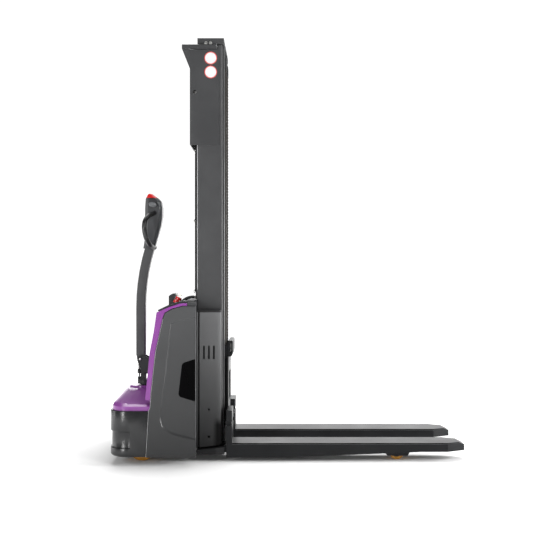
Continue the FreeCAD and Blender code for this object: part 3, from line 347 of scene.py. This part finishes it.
# The black film is the labels' print and also the painted shade in corners, gaps and under the shelf's arm; the
# pale edge film and the grey film are painted highlights on edges
black_film_and_shade = film("black_film_and_shade", (0.0015, 0.0015, 0.0017), 0.6, 0.02)
edge_highlight = film("edge_highlight", (0.46, 0.46, 0.47), 0.4)
grey_highlight = film("grey_highlight", (0.105, 0.106, 0.108), 0.5, 0.1)
white_film = film("white_film", (0.62, 0.63, 0.64), shine=0.2)
red_film = film("red_film", (0.62, 0.10, 0.09), shine=0.2)
display_glass = film("display_glass", (0.010, 0.013, 0.016), 0.08)
cover_strip_finish = film("cover_strip_finish", (0.010, 0.010, 0.011), 0.55)
print(len(bpy.data.materials), "finishes in all")

# %% [markdown]
# ## From a bmesh to a piece
#
# Every piece ends the same way: its mesh becomes an object that gets a finish and takes its place on a body of the
# truck. Normals turn outwards on the way. Wide flat faces keep their own normal up to a rounded edge, so they
# don't look dented.

# %% From a bmesh to a piece
CREASE = math.radians(35)


def piece(name, form, body, finish, stands_for=(), fix_normals=True, flat_faces=True):
    if fix_normals:
        bmesh.ops.recalc_face_normals(form, faces=form.faces)
    mesh = bpy.data.meshes.new(name)
    form.to_mesh(mesh)
    form.free()
    mesh.shade_smooth()
    mesh.set_sharp_from_angle(angle=CREASE)
    mesh.materials.append(finish)
    made = bpy.data.objects.new(name, mesh)
    scene.collection.objects.link(made)
    if flat_faces:
        made.modifiers.new("flat_faces", "WEIGHTED_NORMAL").keep_sharp = True
    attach(made, body)
    if stands_for:
        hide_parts(*stands_for)
    return made


print("pieces can be made")

# %% [markdown]
# ## Rounded edges
#
# Real edges are never knife sharp: rolled rails, folded sheet and moulded plastic all turn over a small radius,
# and that radius catches the light as a thin bright line. The solids have sharp edges, so a copy of each is
# merged, its flat facets joined, and its sharp edges bevelled with the radius that the real piece would have.
# The bumper has no wide flat face, and its many narrow ones look best with the plain smooth shading.

# %% Rounded edges
SAME_POINT = 0.00003
SAME_PLANE, SHARP = math.radians(0.6), math.radians(25)


def bevelled(form, edges, radius, clamp=False):
    bmesh.ops.bevel(form, geom=edges, offset=radius, offset_type="OFFSET", affect="EDGES", segments=2,
                    profile=0.5, material=-1, clamp_overlap=clamp)


def rounded(node, radius, finish):
    form = bmesh.new()
    form.from_mesh(cad[node].data)
    bmesh.ops.remove_doubles(form, verts=form.verts, dist=SAME_POINT)
    bmesh.ops.dissolve_limit(form, angle_limit=SAME_PLANE, verts=form.verts, edges=form.edges)
    edges = [edge for edge in form.edges if len(edge.link_faces) == 2 and edge.calc_face_angle(0) > SHARP]
    bevelled(form, edges, radius, clamp=True)
    bmesh.ops.triangulate(form, faces=[face for face in form.faces if len(face.verts) > 4])
    return piece(node + "_rounded", form, body_of[node], finish, [node], fix_normals=False,
                 flat_faces=node != "front_bumper")


# Node, radius in metres, finish
EDGES = (
    ("outer_rails", 0.0030, mast_paint), ("inner_rails", 0.0030, mast_paint),
    ("mast_cross_members", 0.0015, foot_paint), ("inner_cross_members", 0.0012, mast_paint),
    ("mast_shroud", 0.0012, shroud_paint), ("top_shelf", 0.0012, shroud_paint),
    ("mast_covers", 0.0013, cover_paint), ("leg_left", 0.0025, leg_paint), ("leg_right", 0.0025, leg_paint),
    ("fork_left", 0.0028, leg_paint), ("fork_right", 0.0028, leg_paint), ("carriage_frame", 0.0018, leg_paint),
    ("roller_plates", 0.0018, leg_paint), ("load_rest", 0.0018, leg_paint),
    ("chassis_frame", 0.0012, dark_paint), ("front_bumper", 0.0040, bumper_plastic),
    ("hood", 0.0022, purple_plastic), ("front_cover", 0.0045, purple_plastic), ("dash", 0.0022, dash_plastic),
    ("side_panels", 0.0030, panel_plastic), ("drive_unit", 0.0015, iron),
    ("steering_post", 0.0012, dark_paint), ("tiller_arm", 0.0060, tiller_paint),
    ("tiller_head", 0.0060, head_plastic), ("reverse_button", 0.0040, red_plastic),
    ("emergency_stop", 0.0015, red_plastic), ("castor_fork_left", 0.0012, zinc),
    ("castor_fork_right", 0.0012, zinc), ("battery", 0.0040, dark_paint), ("hydraulic_unit", 0.0030, zinc),
)
for node, radius, finish in EDGES:
    made = rounded(node, radius, finish)
    print(made.name, len(made.data.polygons), "faces")

# %% [markdown]
# ## Finishes on the solids that stay
#
# Rods, hoses, grips and the clear screen already have their real shape, so they only need a finish.

# %% Finishes on the solids that stay
KEPT = {
    "guard_screen": clear, "screen_strips": rubber, "lift_cylinders": dark_paint, "lift_rods": hard_chrome,
    "inner_rollers": ground_steel, "carriage_rollers": ground_steel, "mast_hoses": rubber,
    "tiller_spring": dark_paint, "grips": grip_plastic,
}
for node, finish in KEPT.items():
    cad[node].data.materials.clear()
    cad[node].data.materials.append(finish)
print(len(KEPT), "solids keep their own mesh")

# %% [markdown]
# ## Stamp and lathe
#
# Small parts that come in numbers are made once as a pattern and stamped where they are needed. Wheels, washers,
# caps and rings come off a lathe, and so do their meshes: half an outline, as radius and distance along the axle,
# is spun once round and stamped in its place. The outline is closed, so the bore is part of it.

# %% Stamp and lathe
AXES = {"x": Matrix.Rotation(math.radians(90), 4, "Y"), "y": Matrix.Rotation(math.radians(-90), 4, "X"),
        "z": Matrix.Identity(4)}


def pattern_of(form):
    mesh = bpy.data.meshes.new("pattern")
    form.to_mesh(mesh)
    form.free()
    return mesh


def stamped(form, pattern, places):
    # Copies of one small mesh, each moved and turned by a matrix
    for matrix in places:
        start = len(form.verts)
        form.from_mesh(pattern)
        form.verts.ensure_lookup_table()
        bmesh.ops.transform(form, matrix=matrix, verts=form.verts[start:])


def turned(form, outline, place, axis="y", steps=40):
    # The outline is drawn beside the Z axis, spun round it and then stamped onto the real axis
    lathe = bmesh.new()
    points = [lathe.verts.new((radius, 0, along)) for radius, along in outline]
    edges = [lathe.edges.new(pair) for pair in zip(points, points[1:] + points[:1])]
    bmesh.ops.spin(lathe, geom=points + edges, axis=(0, 0, 1), cent=(0, 0, 0), angle=math.tau, steps=steps,
                   use_merge=True)
    bmesh.ops.remove_doubles(lathe, verts=lathe.verts, dist=1e-6)
    pattern = pattern_of(lathe)
    stamped(form, pattern, [Matrix.Translation(place) @ AXES[axis]])
    bpy.data.meshes.remove(pattern)


print("stamp and lathe ready")

# %% [markdown]
# ## Wheels
#
# The load wheels and castors are a polyurethane tread cast round a hub with a ball bearing at each end. The
# tread, the hub and the bearings' steel are three finishes, so they are three meshes on the same axle. The drive
# wheel's tread has a cast hub of its own instead, with a raised rim and a low boss round its axle.


# %% Wheels
def wheel(node, hub_share, round_over, bearing=True):
    low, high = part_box(node)
    centre = (low + high) / 2
    radius, half = (high.z - low.z) / 2, (high.y - low.y) / 2
    seat, bend = radius * hub_share, 0.3 * round_over
    body, slot = body_of[node], slot_of[node]
    form = bmesh.new()
    turned(form, [(seat, -half), (radius - round_over, -half), (radius - bend, -half + bend),
                  (radius, -half + round_over), (radius, half - round_over), (radius - bend, half - bend),
                  (radius - round_over, half), (seat, half)], centre, steps=64)
    piece(node + "_tread", form, body, amber, [node])
    if bearing:
        core, rings = bmesh.new(), bmesh.new()
        bore, deep, chamfer = 0.36 * seat, half - 0.002, 0.002
        turned(core, [(bore, -deep), (seat - chamfer, -deep), (seat, 0.0005 - half), (seat, half - 0.0005),
                      (seat - chamfer, deep), (bore, deep)], centre)
        piece(node + "_core", core, body, dark_paint)
        for side in (-1, 1):
            # Across the face of a bearing: the outer ring, the dip of its seal and the inner ring
            face = side * deep
            turned(rings, [(bore, face - 0.002), (0.80 * seat, face - 0.002), (0.80 * seat, face + side * 0.0012),
                           (0.72 * seat, face + side * 0.0016), (0.56 * seat, face + side * 0.0004),
                           (bore, face + side * 0.0012)], centre)
        piece(node + "_bearing", rings, body, ground_steel)


for node in ("load_wheel_left", "load_wheel_right"):
    wheel(node, 0.62, 0.004)
for node in ("castor_wheel_left", "castor_wheel_right"):
    wheel(node, 0.60, 0.005)
wheel("drive_tyre", 62 / 105, 0.006, bearing=False)

HUB_BORE, HUB_DIP, HUB_RIM = 0.01608, 0.004, 0.006
hub_low, hub_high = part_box("drive_hub")
hub = (hub_low + hub_high) / 2
hub_radius, hub_half = (hub_high.z - hub_low.z) / 2, (hub_high.y - hub_low.y) / 2
form = bmesh.new()
turned(form, [(HUB_BORE, -hub_half), (0.030, -hub_half - 0.0015), (0.034, -hub_half + HUB_DIP),
              (hub_radius - HUB_RIM, -hub_half + HUB_DIP), (hub_radius, -hub_half), (hub_radius, hub_half),
              (HUB_BORE, hub_half)], hub, steps=56)
piece("drive_hub_turned", form, "drive_wheel", iron, ["drive_hub"])
print("five treads, eight bearings and a hub")

# %% [markdown]
# ## Screws, nuts and washers
#
# A screw head is a six sided disc with its upper rim bevelled, on a flat washer. The pattern has a half width of
# one, so it is stamped at each place with the real half width as its scale, and turned to the direction that it
# needs there. Each named group of screws is one mesh.


# %% Screws, nuts and washers
def screw_pattern():
    form = bmesh.new()
    head = bmesh.ops.create_cone(form, cap_ends=True, segments=6, radius1=1.0, radius2=1.0, depth=0.65,
                                 matrix=Matrix.Translation((0, 0, 0.50)))
    top = {edge for vert in head["verts"] if vert.co.z > 0.7 for edge in vert.link_edges
           if all(end.co.z > 0.7 for end in edge.verts)}
    bevelled(form, list(top), 0.14)
    bmesh.ops.create_cone(form, cap_ends=True, segments=20, radius1=1.5, radius2=1.42, depth=0.2,
                          matrix=Matrix.Translation((0, 0, 0.1)))
    return pattern_of(form)


def domed_pattern():
    # A round cap with a dimple in its middle
    form = bmesh.new()
    turned(form, [(0.0001, 0), (1.0, 0), (1.0, 0.15), (0.92, 0.38), (0.62, 0.58), (0.42, 0.62), (0.38, 0.30),
                  (0.0001, 0.30)], (0, 0, 0), "z", steps=16)
    return pattern_of(form)


FACING = {"+x": (0, 1), "-x": (0, -1), "+y": (1, 1), "-y": (1, -1), "+z": (2, 1), "-z": (2, -1)}


def facing(place, direction, size):
    # Places a pattern that points up so that it points along an axis of the truck
    index, sign = FACING[direction]
    aim = Vector((0, 0, 0))
    aim[index] = sign
    turn = Vector((0, 0, 1)).rotation_difference(aim).to_matrix().to_4x4()
    return Matrix.Translation(place) @ turn @ Matrix.Scale(size, 4)


def screws(name, body, finish, pattern, places):
    # places: point, direction and half width in metres
    form = bmesh.new()
    stamped(form, pattern, [facing(*place) for place in places])
    made = piece(name, form, body, finish)
    print(name, len(places), "screws,", len(made.data.polygons), "faces")


hexagon, domed = screw_pattern(), domed_pattern()
print("two patterns")

# %% [markdown]
# ## Where the screws sit
#
# Two screws hold each end of the mast's head plate, four run up each edge of the clear screen and one holds each
# lower corner of the shroud. The drive wheel has a ring of five nuts and a large one on its axle.

# %% Where the screws sit
SIDES = ((1, "+y"), (-1, "-y"))
HEAD_SCREWS, HEAD_SCREW_DROP = (0.0744, 0.0967), 0.024
SCREEN_SCREWS, SHROUD_SCREW = (0.834, 1.184, 1.533, 1.827), 1.8257
NUTS, NUT_CIRCLE = 5, 0.043

_, head_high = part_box("inner_cross_members")
mast_low, mast_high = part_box("outer_rails")
strip_low, strip_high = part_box("screen_strips")
shroud_low, shroud_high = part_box("mast_shroud")

places = [((head_high.x - back, sign * head_high.y, head_high.z - HEAD_SCREW_DROP), way, 0.0058)
          for sign, way in SIDES for back in HEAD_SCREWS]
screws("mast_head_screws", "inner_mast", zinc, hexagon, places)
strip_y = strip_high.y - 0.009
places = [((strip_low.x - 0.004, sign * strip_y, z), "-x", 0.0075) for sign, _ in SIDES for z in SCREEN_SCREWS]
screws("screen_screws", "root", zinc, hexagon, places)
places = [((shroud_low.x + 0.0262, sign * (shroud_high.y - 0.022), SHROUD_SCREW), way, 0.0075)
          for sign, way in SIDES]
screws("shroud_screws", "root", zinc, hexagon, places)

nut_y = hub_low.y + HUB_DIP
places = [((hub.x + NUT_CIRCLE * math.cos(turn), nut_y, hub.z + NUT_CIRCLE * math.sin(turn)), "-y", 0.0065)
          for turn in (math.tau * step / NUTS for step in range(NUTS))]
screws("hub_nuts", "drive_wheel", zinc, hexagon, places)
screws("axle_nut", "drive_wheel", zinc, hexagon, [((hub.x, hub_low.y - 0.0015, hub.z), "-y", 0.014)])

# %% [markdown]
# ## Leaf chains
#
# A leaf chain is a pack of oval plates, three and then two in turn, held by pins. Each plate is a disc of twelve
# sides made oval, and the whole chain is one mesh of stamped plates and pins. The front run hangs between the
# carriage and the pulley and gets shorter as the carriage rises. The rear run stays with the inner mast.

# %% Leaf chains
LINK, HALF_CHAIN = 0.0159, 0.009
PLATES = ((-0.0066, 0.0, 0.0066), (-0.0033, 0.0033))


def disc_pattern(sides, radius, depth, stretch=(1, 1, 1)):
    form = bmesh.new()
    bmesh.ops.create_cone(form, cap_ends=True, segments=sides, radius1=radius, radius2=radius, depth=depth,
                          matrix=AXES["y"])
    bmesh.ops.scale(form, vec=stretch, verts=form.verts)
    return pattern_of(form)


plate = disc_pattern(12, 0.0068, 0.0029, stretch=(0.95, 1, 1.62))
pin = disc_pattern(8, 0.0026, 0.0178)


def chain(name, path, stands_for):
    # path gives a point in X and Z and a lean for a distance along the chain, or None past its end
    form = bmesh.new()
    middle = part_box(stands_for)[1].y - HALF_CHAIN
    for y in (middle, -middle):
        count, along = 0, LINK / 2
        while path(along):
            x, z, lean = path(along)
            turn = Matrix.Translation((x, y, z)) @ Matrix.Rotation(lean, 4, "Y")
            stamped(form, plate, [turn @ Matrix.Translation((0, side, 0)) for side in PLATES[count % 2]])
            stamped(form, pin, [turn @ Matrix.Translation((0, 0, LINK / 2))])
            count, along = count + 1, along + LINK
    made = piece(name, form, "inner_mast", chain_steel, [stands_for], fix_normals=False)
    print(name, count, "links,", len(made.data.polygons), "faces")
    return made


front_low, front_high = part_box("chains_front")
rear_low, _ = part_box("chains_rear")
front_x = (front_low.x + front_high.x) / 2
rear_x = rear_low.x + 0.007
pulley_z = front_high.z
reach = (front_x - rear_x) / 2


def front_run(along):
    z = front_low.z + along
    return (front_x, z, 0) if z < pulley_z - LINK / 2 else None


def rear_run(along):
    straight = pulley_z - rear_low.z
    if along < straight:
        return rear_x, rear_low.z + along, 0
    turn = (along - straight) / reach
    if turn > math.pi:
        return None
    return front_x - reach - reach * math.cos(turn), pulley_z + reach * math.sin(turn), turn


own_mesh(chain("front_chains", front_run, "chains_front"))
chain("rear_chains", rear_run, "chains_rear")

# %% [markdown]
# ## Chain anchors and pulley caps
#
# Each chain ends in a threaded eye that passes through the carriage's bar, with two nuts under it. The pulleys
# turn on pins that are capped on both cheeks.

# %% Chain anchors and pulley caps
HALF_PULLEY = 0.019
chain_y = front_high.y - HALF_CHAIN
form = bmesh.new()
for y in (chain_y, -chain_y):
    bmesh.ops.create_cone(form, cap_ends=True, segments=16, radius1=0.005, radius2=0.005, depth=0.044,
                          matrix=Matrix.Translation((front_x, y, front_low.z - 0.038)))
    bmesh.ops.create_cube(form, size=0.011, matrix=Matrix.Translation((front_x, y, front_low.z + 0.004)))
piece("anchor_bolts", form, "carriage", zinc)
places = [((front_x, y, front_low.z - drop), "-z", 0.0075)
          for y in (chain_y, -chain_y) for drop in (0.0165, 0.029)]
screws("anchor_nuts", "carriage", zinc, hexagon, places)
places = [((front_x - reach, y + edge * HALF_PULLEY, pulley_z), way, 0.010)
          for y in (chain_y, -chain_y) for edge, way in reversed(SIDES)]
screws("pulley_caps", "inner_mast", zinc, domed, places)

# %% [markdown]
# ## Blank labels
#
# A film label sits in the pocket of each side panel. It stays blank. Its six corners are rounded in the flat
# outline, and the face is then drawn out by the film's thickness.

# %% Blank labels
panel_low, panel_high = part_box("side_panels")
LABEL = ((-0.5060, 0.495), (-0.4485, 0.514), (-0.4485, 0.310), (-0.5210, 0.332), (-0.5286, 0.344),
         (-0.5120, 0.486))
POCKET_DEPTH, FILM, FILM_CORNER = 0.0069, 0.0009, 0.006


def sheet(form, outline, y, thickness, round_over):
    # A flat outline in X and Z, with its corners rounded, drawn out along Y
    corners = [form.verts.new((x, y, z)) for x, z in outline]
    form.faces.new(corners)
    bmesh.ops.bevel(form, geom=corners, offset=round_over, offset_type="OFFSET", affect="VERTICES", segments=4,
                    profile=0.5, material=-1)
    flat = [face for face in form.faces if all(abs(vert.co.y - y) < 1e-7 for vert in face.verts)]
    drawn = bmesh.ops.extrude_face_region(form, geom=flat)["geom"]
    bmesh.ops.translate(form, vec=(0, thickness, 0),
                        verts=[item for item in drawn if isinstance(item, bmesh.types.BMVert)])


form = bmesh.new()
for sign, _ in SIDES:
    sheet(form, LABEL, sign * (panel_high.y - POCKET_DEPTH), sign * FILM, FILM_CORNER)
piece("side_labels", form, "root", black_film_and_shade)
print("two blank labels")

# %% [markdown]
# ## Painted highlight and shade lines
#
# Thin lines paint light and shade onto edges and gaps: a pale painted highlight up the front edge of each side
# panel and a grey one down its rear edge, painted shade in the gap behind that rear edge and along the panel's
# upper seam, a pale painted highlight on the front line of the mast, a painted shadow under the shelf's arm and a
# pale line at the bright end slot of the arm, and along each side of a fork a ledge with painted shade in its
# corner and a grey painted highlight on its lip. Each line is a very thin bar laid from point to point, half sunk
# in the surface that it belongs to.

# %% Painted highlight and shade lines
# Points in X and Z up the front edge of a side panel, and then back along its upper edge
PANEL_FRONT = ((-0.6838, 0.045), (-0.6707, 0.2630), (-0.6635, 0.2834), (-0.6567, 0.3686), (-0.6373, 0.5445),
               (-0.6018, 0.7060))
PANEL_TOP = ((-0.6393, 0.5455), (-0.6040, 0.7076), (-0.5938, 0.7343), (-0.5588, 0.7546), (-0.5063, 0.7680))
MAST_LINE_LOW = 0.842
ARM_FOOT, ARM_END = 2.0425, -0.3560
SLOT_X, SLOT = -0.3555, (2.046, 2.059)
FORK_HEEL, TIP_CUT = -0.2750, 0.090
LEDGE_CORNER, LEDGE_LIP = 0.0880, 0.0842

cover_low, cover_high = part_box("mast_covers")
shelf_low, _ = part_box("top_shelf")
fork_low, fork_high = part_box("fork_left")


def bead(form, points, y, radius):
    # A thin six sided bar from point to point in the plane of X and Z
    for (x0, z0), (x1, z1) in zip(points, points[1:]):
        run = Vector((x1 - x0, 0, z1 - z0))
        turn = Vector((0, 0, 1)).rotation_difference(run).to_matrix().to_4x4()
        middle = Matrix.Translation(((x0 + x1) / 2, y, (z0 + z1) / 2))
        bmesh.ops.create_cone(form, cap_ends=True, segments=6, radius1=radius, radius2=radius,
                              depth=run.length + radius, matrix=middle @ turn)


def upright(x, low, high):
    return (x, low), (x, high)


pale, grey, dark, corner, lip = (bmesh.new() for _ in range(5))
for sign, _ in SIDES:
    panel_y = sign * (panel_high.y - 0.0014)
    arm_y = sign * (shroud_high.y + 0.0006)
    # A pale painted highlight up the panel's front edge
    bead(pale, PANEL_FRONT, panel_y, 0.0012)
    # A grey painted highlight down the panel's rear edge
    bead(grey, upright(panel_high.x - 0.0013, panel_low.z + 0.004, panel_high.z - 0.006), panel_y, 0.0010)
    # Painted shade in the gap behind the panel's rear edge
    bead(dark, upright(panel_high.x + 0.004, cover_low.z, cover_high.z), sign * (cover_high.y - 0.002), 0.004)
    # A pale painted highlight on the mast's front line
    bead(pale, upright(mast_low.x + 0.0008, MAST_LINE_LOW, shroud_low.z - 0.002), sign * (mast_high.y + 0.0002),
         0.0010)
    # Painted shade along the panel's upper seam, and a painted shadow under the shelf's arm
    bead(dark, PANEL_TOP, sign * (panel_high.y - 0.011), 0.0022)
    bead(dark, ((shelf_low.x + 0.045, ARM_FOOT), (ARM_END, ARM_FOOT)), arm_y, 0.0022)
    # A pale line at the bright end slot of the shelf's arm
    bead(pale, upright(SLOT_X, *SLOT), arm_y, 0.0022)
    # Painted shade in the corner of each fork's ledge, and a grey painted highlight on its lip
    for y, inward in ((fork_low.y, 1), (fork_high.y, -1)):
        for form, z, depth, radius in ((corner, LEDGE_CORNER, 0.0026, 0.0020), (lip, LEDGE_LIP, 0.0012, 0.0011)):
            bead(form, ((FORK_HEEL, z), (fork_high.x - TIP_CUT, z)), sign * (y + inward * depth), radius)
piece("pale_highlight_lines", pale, "root", edge_highlight)
piece("panel_rear_highlights", grey, "root", grey_highlight)
piece("fork_ledge_shade", corner, "carriage", black_film_and_shade)
piece("fork_lip_highlights", lip, "carriage", grey_highlight)
piece("painted_shade_lines", dark, "root", black_film_and_shade)
print("five kinds of line")

# %% [markdown]
# ## Blank round signs
#
# Two round signs sit on each side of the shroud. Both stay blank: a thin white disc with a red ring round it, each
# off the lathe, because a rim that is a mesh of its own stays crisp in any light.

# %% Blank round signs
SIGN_X, SIGN_HEIGHTS = -0.3843, (1.992, 1.9228)
FACE_RADIUS, RIM_INSIDE, RIM_RADIUS = 0.0274, 0.0272, 0.0312
faces, rims = bmesh.new(), bmesh.new()
for sign, _ in SIDES:
    for z in SIGN_HEIGHTS:
        at = (SIGN_X, sign * (shroud_high.y + 0.0003), z)
        turned(faces, [(0.0001, -0.0004), (FACE_RADIUS, -0.0004), (FACE_RADIUS, 0.0004), (0.0001, 0.0004)],
               at, steps=48)
        turned(rims, [(RIM_INSIDE, -0.0005), (RIM_RADIUS, -0.0005), (RIM_RADIUS, 0.0006), (RIM_INSIDE, 0.0006)],
               at, steps=48)
piece("sign_faces", faces, "root", white_film)
piece("sign_rims", rims, "root", red_film)
print("four signs")

# %% [markdown]
# ## Dark strips on the mast's covers
#
# A dark strip, eleven millimetres tall, runs along the upper edge of each lower cover and fills the space to the
# mast. It is a box with all its edges bevelled, which is all that such a strip needs.

# %% Dark strips on the mast's covers
STRIP_HEIGHT = 0.011


def slab(form, middle, size):
    # A box from its middle and its three sizes, and the edges it has
    made = bmesh.ops.create_cube(form, size=1, matrix=Matrix.Translation(middle) @ Matrix.Diagonal((*size, 1)))
    return list({edge for vert in made["verts"] for edge in vert.link_edges})


form = bmesh.new()
for sign, _ in SIDES:
    middle = ((cover_high.x + cover_low.x) / 2, sign * (cover_high.y + mast_high.y) / 2, cover_high.z + STRIP_HEIGHT / 2)
    size = (cover_high.x - cover_low.x, cover_high.y - mast_high.y, STRIP_HEIGHT)
    bevelled(form, slab(form, middle, size), 0.0025)
piece("cover_top_strips", form, "root", cover_strip_finish)
print("two seals")

# %% [markdown]
# ## Controls on the dash
#
# The display pod carries a dark lens towards the operator, and the key switch on its mast side. The key has a flat
# blade and a round bow, and stays in its switch.

# %% Controls on the dash
KEY_Y = -0.030
dash_low, dash_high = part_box("dash")
pod_face, key_z = dash_low.x + 0.0235, dash_high.z - 0.0095
form = bmesh.new()
bevelled(form, slab(form, (pod_face, 0, dash_high.z - 0.034), (0.003, 0.084, 0.030)), 0.0012)
piece("display_lens", form, "root", display_glass)
form = bmesh.new()
turned(form, [(0.0001, 0), (0.0085, 0), (0.0085, 0.003), (0.0065, 0.0042), (0.0001, 0.0042)],
       (pod_face + 0.0325, KEY_Y, key_z), "x", steps=28)
piece("key_switch", form, "root", zinc)
form = bmesh.new()
slab(form, (pod_face + 0.046, KEY_Y, key_z), (0.020, 0.007, 0.0022))
bmesh.ops.create_cone(form, cap_ends=True, segments=20, radius1=0.0095, radius2=0.0095, depth=0.0026,
                      matrix=Matrix.Translation((pod_face + 0.055, KEY_Y, key_z)))
piece("key", form, "root", brass)
print("display, key and switch")

# %% [markdown]
# ## Hose fittings
#
# Where the two hoses meet the plate across the mast, each has a crimped ferrule and a hexagon nut.

# %% Hose fittings
HOSE_RADIUS = 0.007
hose_low, hose_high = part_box("mast_hoses")
hose_z = hose_high.z - HOSE_RADIUS
form = bmesh.new()
places = []
for y in (hose_low.y + HOSE_RADIUS, hose_high.y - HOSE_RADIUS):
    turned(form, [(0.0072, 0), (0.0088, 0.0005), (0.0088, 0.005), (0.0082, 0.006), (0.0088, 0.007),
                  (0.0088, 0.0115), (0.0072, 0.012)], (hose_high.x - 0.020, y, hose_z), "x", steps=24)
    places.append(((hose_high.x - 0.0085, y, hose_z), "+x", 0.0098))
piece("hose_ferrules", form, "root", zinc)
screws("hose_nuts", "root", zinc, hexagon, places)

# %% [markdown]
# ## Return spring and tilt pin
#
# The tiller swings back up by a coil spring on a rod ahead of the post. A coil is a circle spun along a screw, so
# `spin` gets a small step along its axis each time. The tilt pin shows its bright end on both ears.

# %% Return spring and tilt pin
post_low, post_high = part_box("steering_post")
rod_low, rod_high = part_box("tiller_spring")
rod_x = rod_low.x + 0.011
TURNS, STEPS, COIL_RADIUS, WIRE_RADIUS, COIL_FOOT = 9, 14, 0.0072, 0.0013, 0.4245
upended = Matrix.Rotation(math.radians(90), 4, "X")
form = bmesh.new()
bmesh.ops.create_circle(form, segments=8, radius=WIRE_RADIUS,
                        matrix=Matrix.Translation((COIL_RADIUS, 0, 0)) @ upended)
pitch = (rod_high.z - COIL_FOOT) / TURNS
bmesh.ops.spin(form, geom=form.verts[:] + form.edges[:], axis=(0, 0, 1), cent=(0, 0, 0),
               dvec=(0, 0, pitch / STEPS), angle=math.tau * TURNS, steps=TURNS * STEPS)
bmesh.ops.translate(form, vec=(rod_x, 0, COIL_FOOT + 0.001), verts=form.verts)
bmesh.ops.holes_fill(form, edges=[edge for edge in form.edges if edge.is_boundary])
piece("return_spring", form, "drive", zinc)
form = bmesh.new()
turned(form, [(0.0042, 0), (0.0085, 0), (0.0095, 0.002), (0.0095, 0.010), (0.0085, 0.012), (0.0042, 0.012)],
       (rod_x, 0, rod_low.z + 0.002), "z", steps=24)
piece("lock_knob", form, "drive", dark_paint)
places = [((post_low.x + 0.018, sign * post_high.y, post_high.z - 0.019), way, 0.0062) for sign, way in SIDES]
screws("tilt_pin_caps", "drive", zinc, domed, places)

# %% [markdown]
# ## Speed paddles
#
# Each side of the tiller's head has a speed paddle at the top, which the thumb turns. It is a knob off the lathe,
# flattened to an oval and leaned back a little, as the thumb meets it.

# %% Speed paddles
PADDLE = ((0.0001, 0.020), (0.0165, 0.020), (0.0165, 0.056), (0.0190, 0.060), (0.0205, 0.066), (0.0190, 0.0725),
          (0.0150, 0.0740), (0.0125, 0.0715), (0.0001, 0.0710))
FLATTENED, LEAN = 0.62, math.radians(12)
paddle_low, paddle_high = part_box("speed_paddles")
middle = Vector(((paddle_low.x + paddle_high.x) / 2, 0, (paddle_low.z + paddle_high.z) / 2))
form = bmesh.new()
for sign, _ in SIDES:
    turned(form, [(radius, sign * y) for radius, y in PADDLE], (0, 0, 0))
bmesh.ops.scale(form, vec=(1.0, 1, FLATTENED), verts=form.verts)
bmesh.ops.transform(form, matrix=Matrix.Translation(middle) @ Matrix.Rotation(LEAN, 4, "Y"), verts=form.verts)
piece("paddles", form, "tiller", paddle_plastic, ["speed_paddles"])
print("two paddles")

# %% [markdown]
# ## Floor
#
# One wide square of matte paper. Under and around the truck it is lit by the lamps and takes the soft shadow.
# Farther out it begins to glow, so that it meets the white of the sky without a line between them.

# %% Floor
GLOW_STARTS, GLOW_FULL = 0.9, 2.4
form = bmesh.new()
bmesh.ops.create_grid(form, x_segments=1, y_segments=1, size=14)
mesh = bpy.data.meshes.new("floor")
form.to_mesh(mesh)
form.free()
paper = Finish("paper", Roughness=0.9, Specular_IOR_Level=0.1, Emission_Strength=1.0)
fibres = paper.noise(60.0, 3.0)
paper.set("Base Color", paper.mix(fibres, (0.76, 0.76, 0.76), (0.78, 0.78, 0.78)))
# A vector node's second output is its plain number, here the distance from the middle of the truck
from_truck = paper.node("VectorMath", {"operation": "LENGTH"}, paper.place, out=1)
glow = from_truck.between(GLOW_STARTS, GLOW_FULL)
paper.set("Emission Color", paper.mix(glow, (0.02, 0.02, 0.02), (1.0, 1.0, 1.0)))
mesh.materials.append(paper.material)
floor = bpy.data.objects.new("floor", mesh)
scene.collection.objects.link(floor)
print("floor laid")
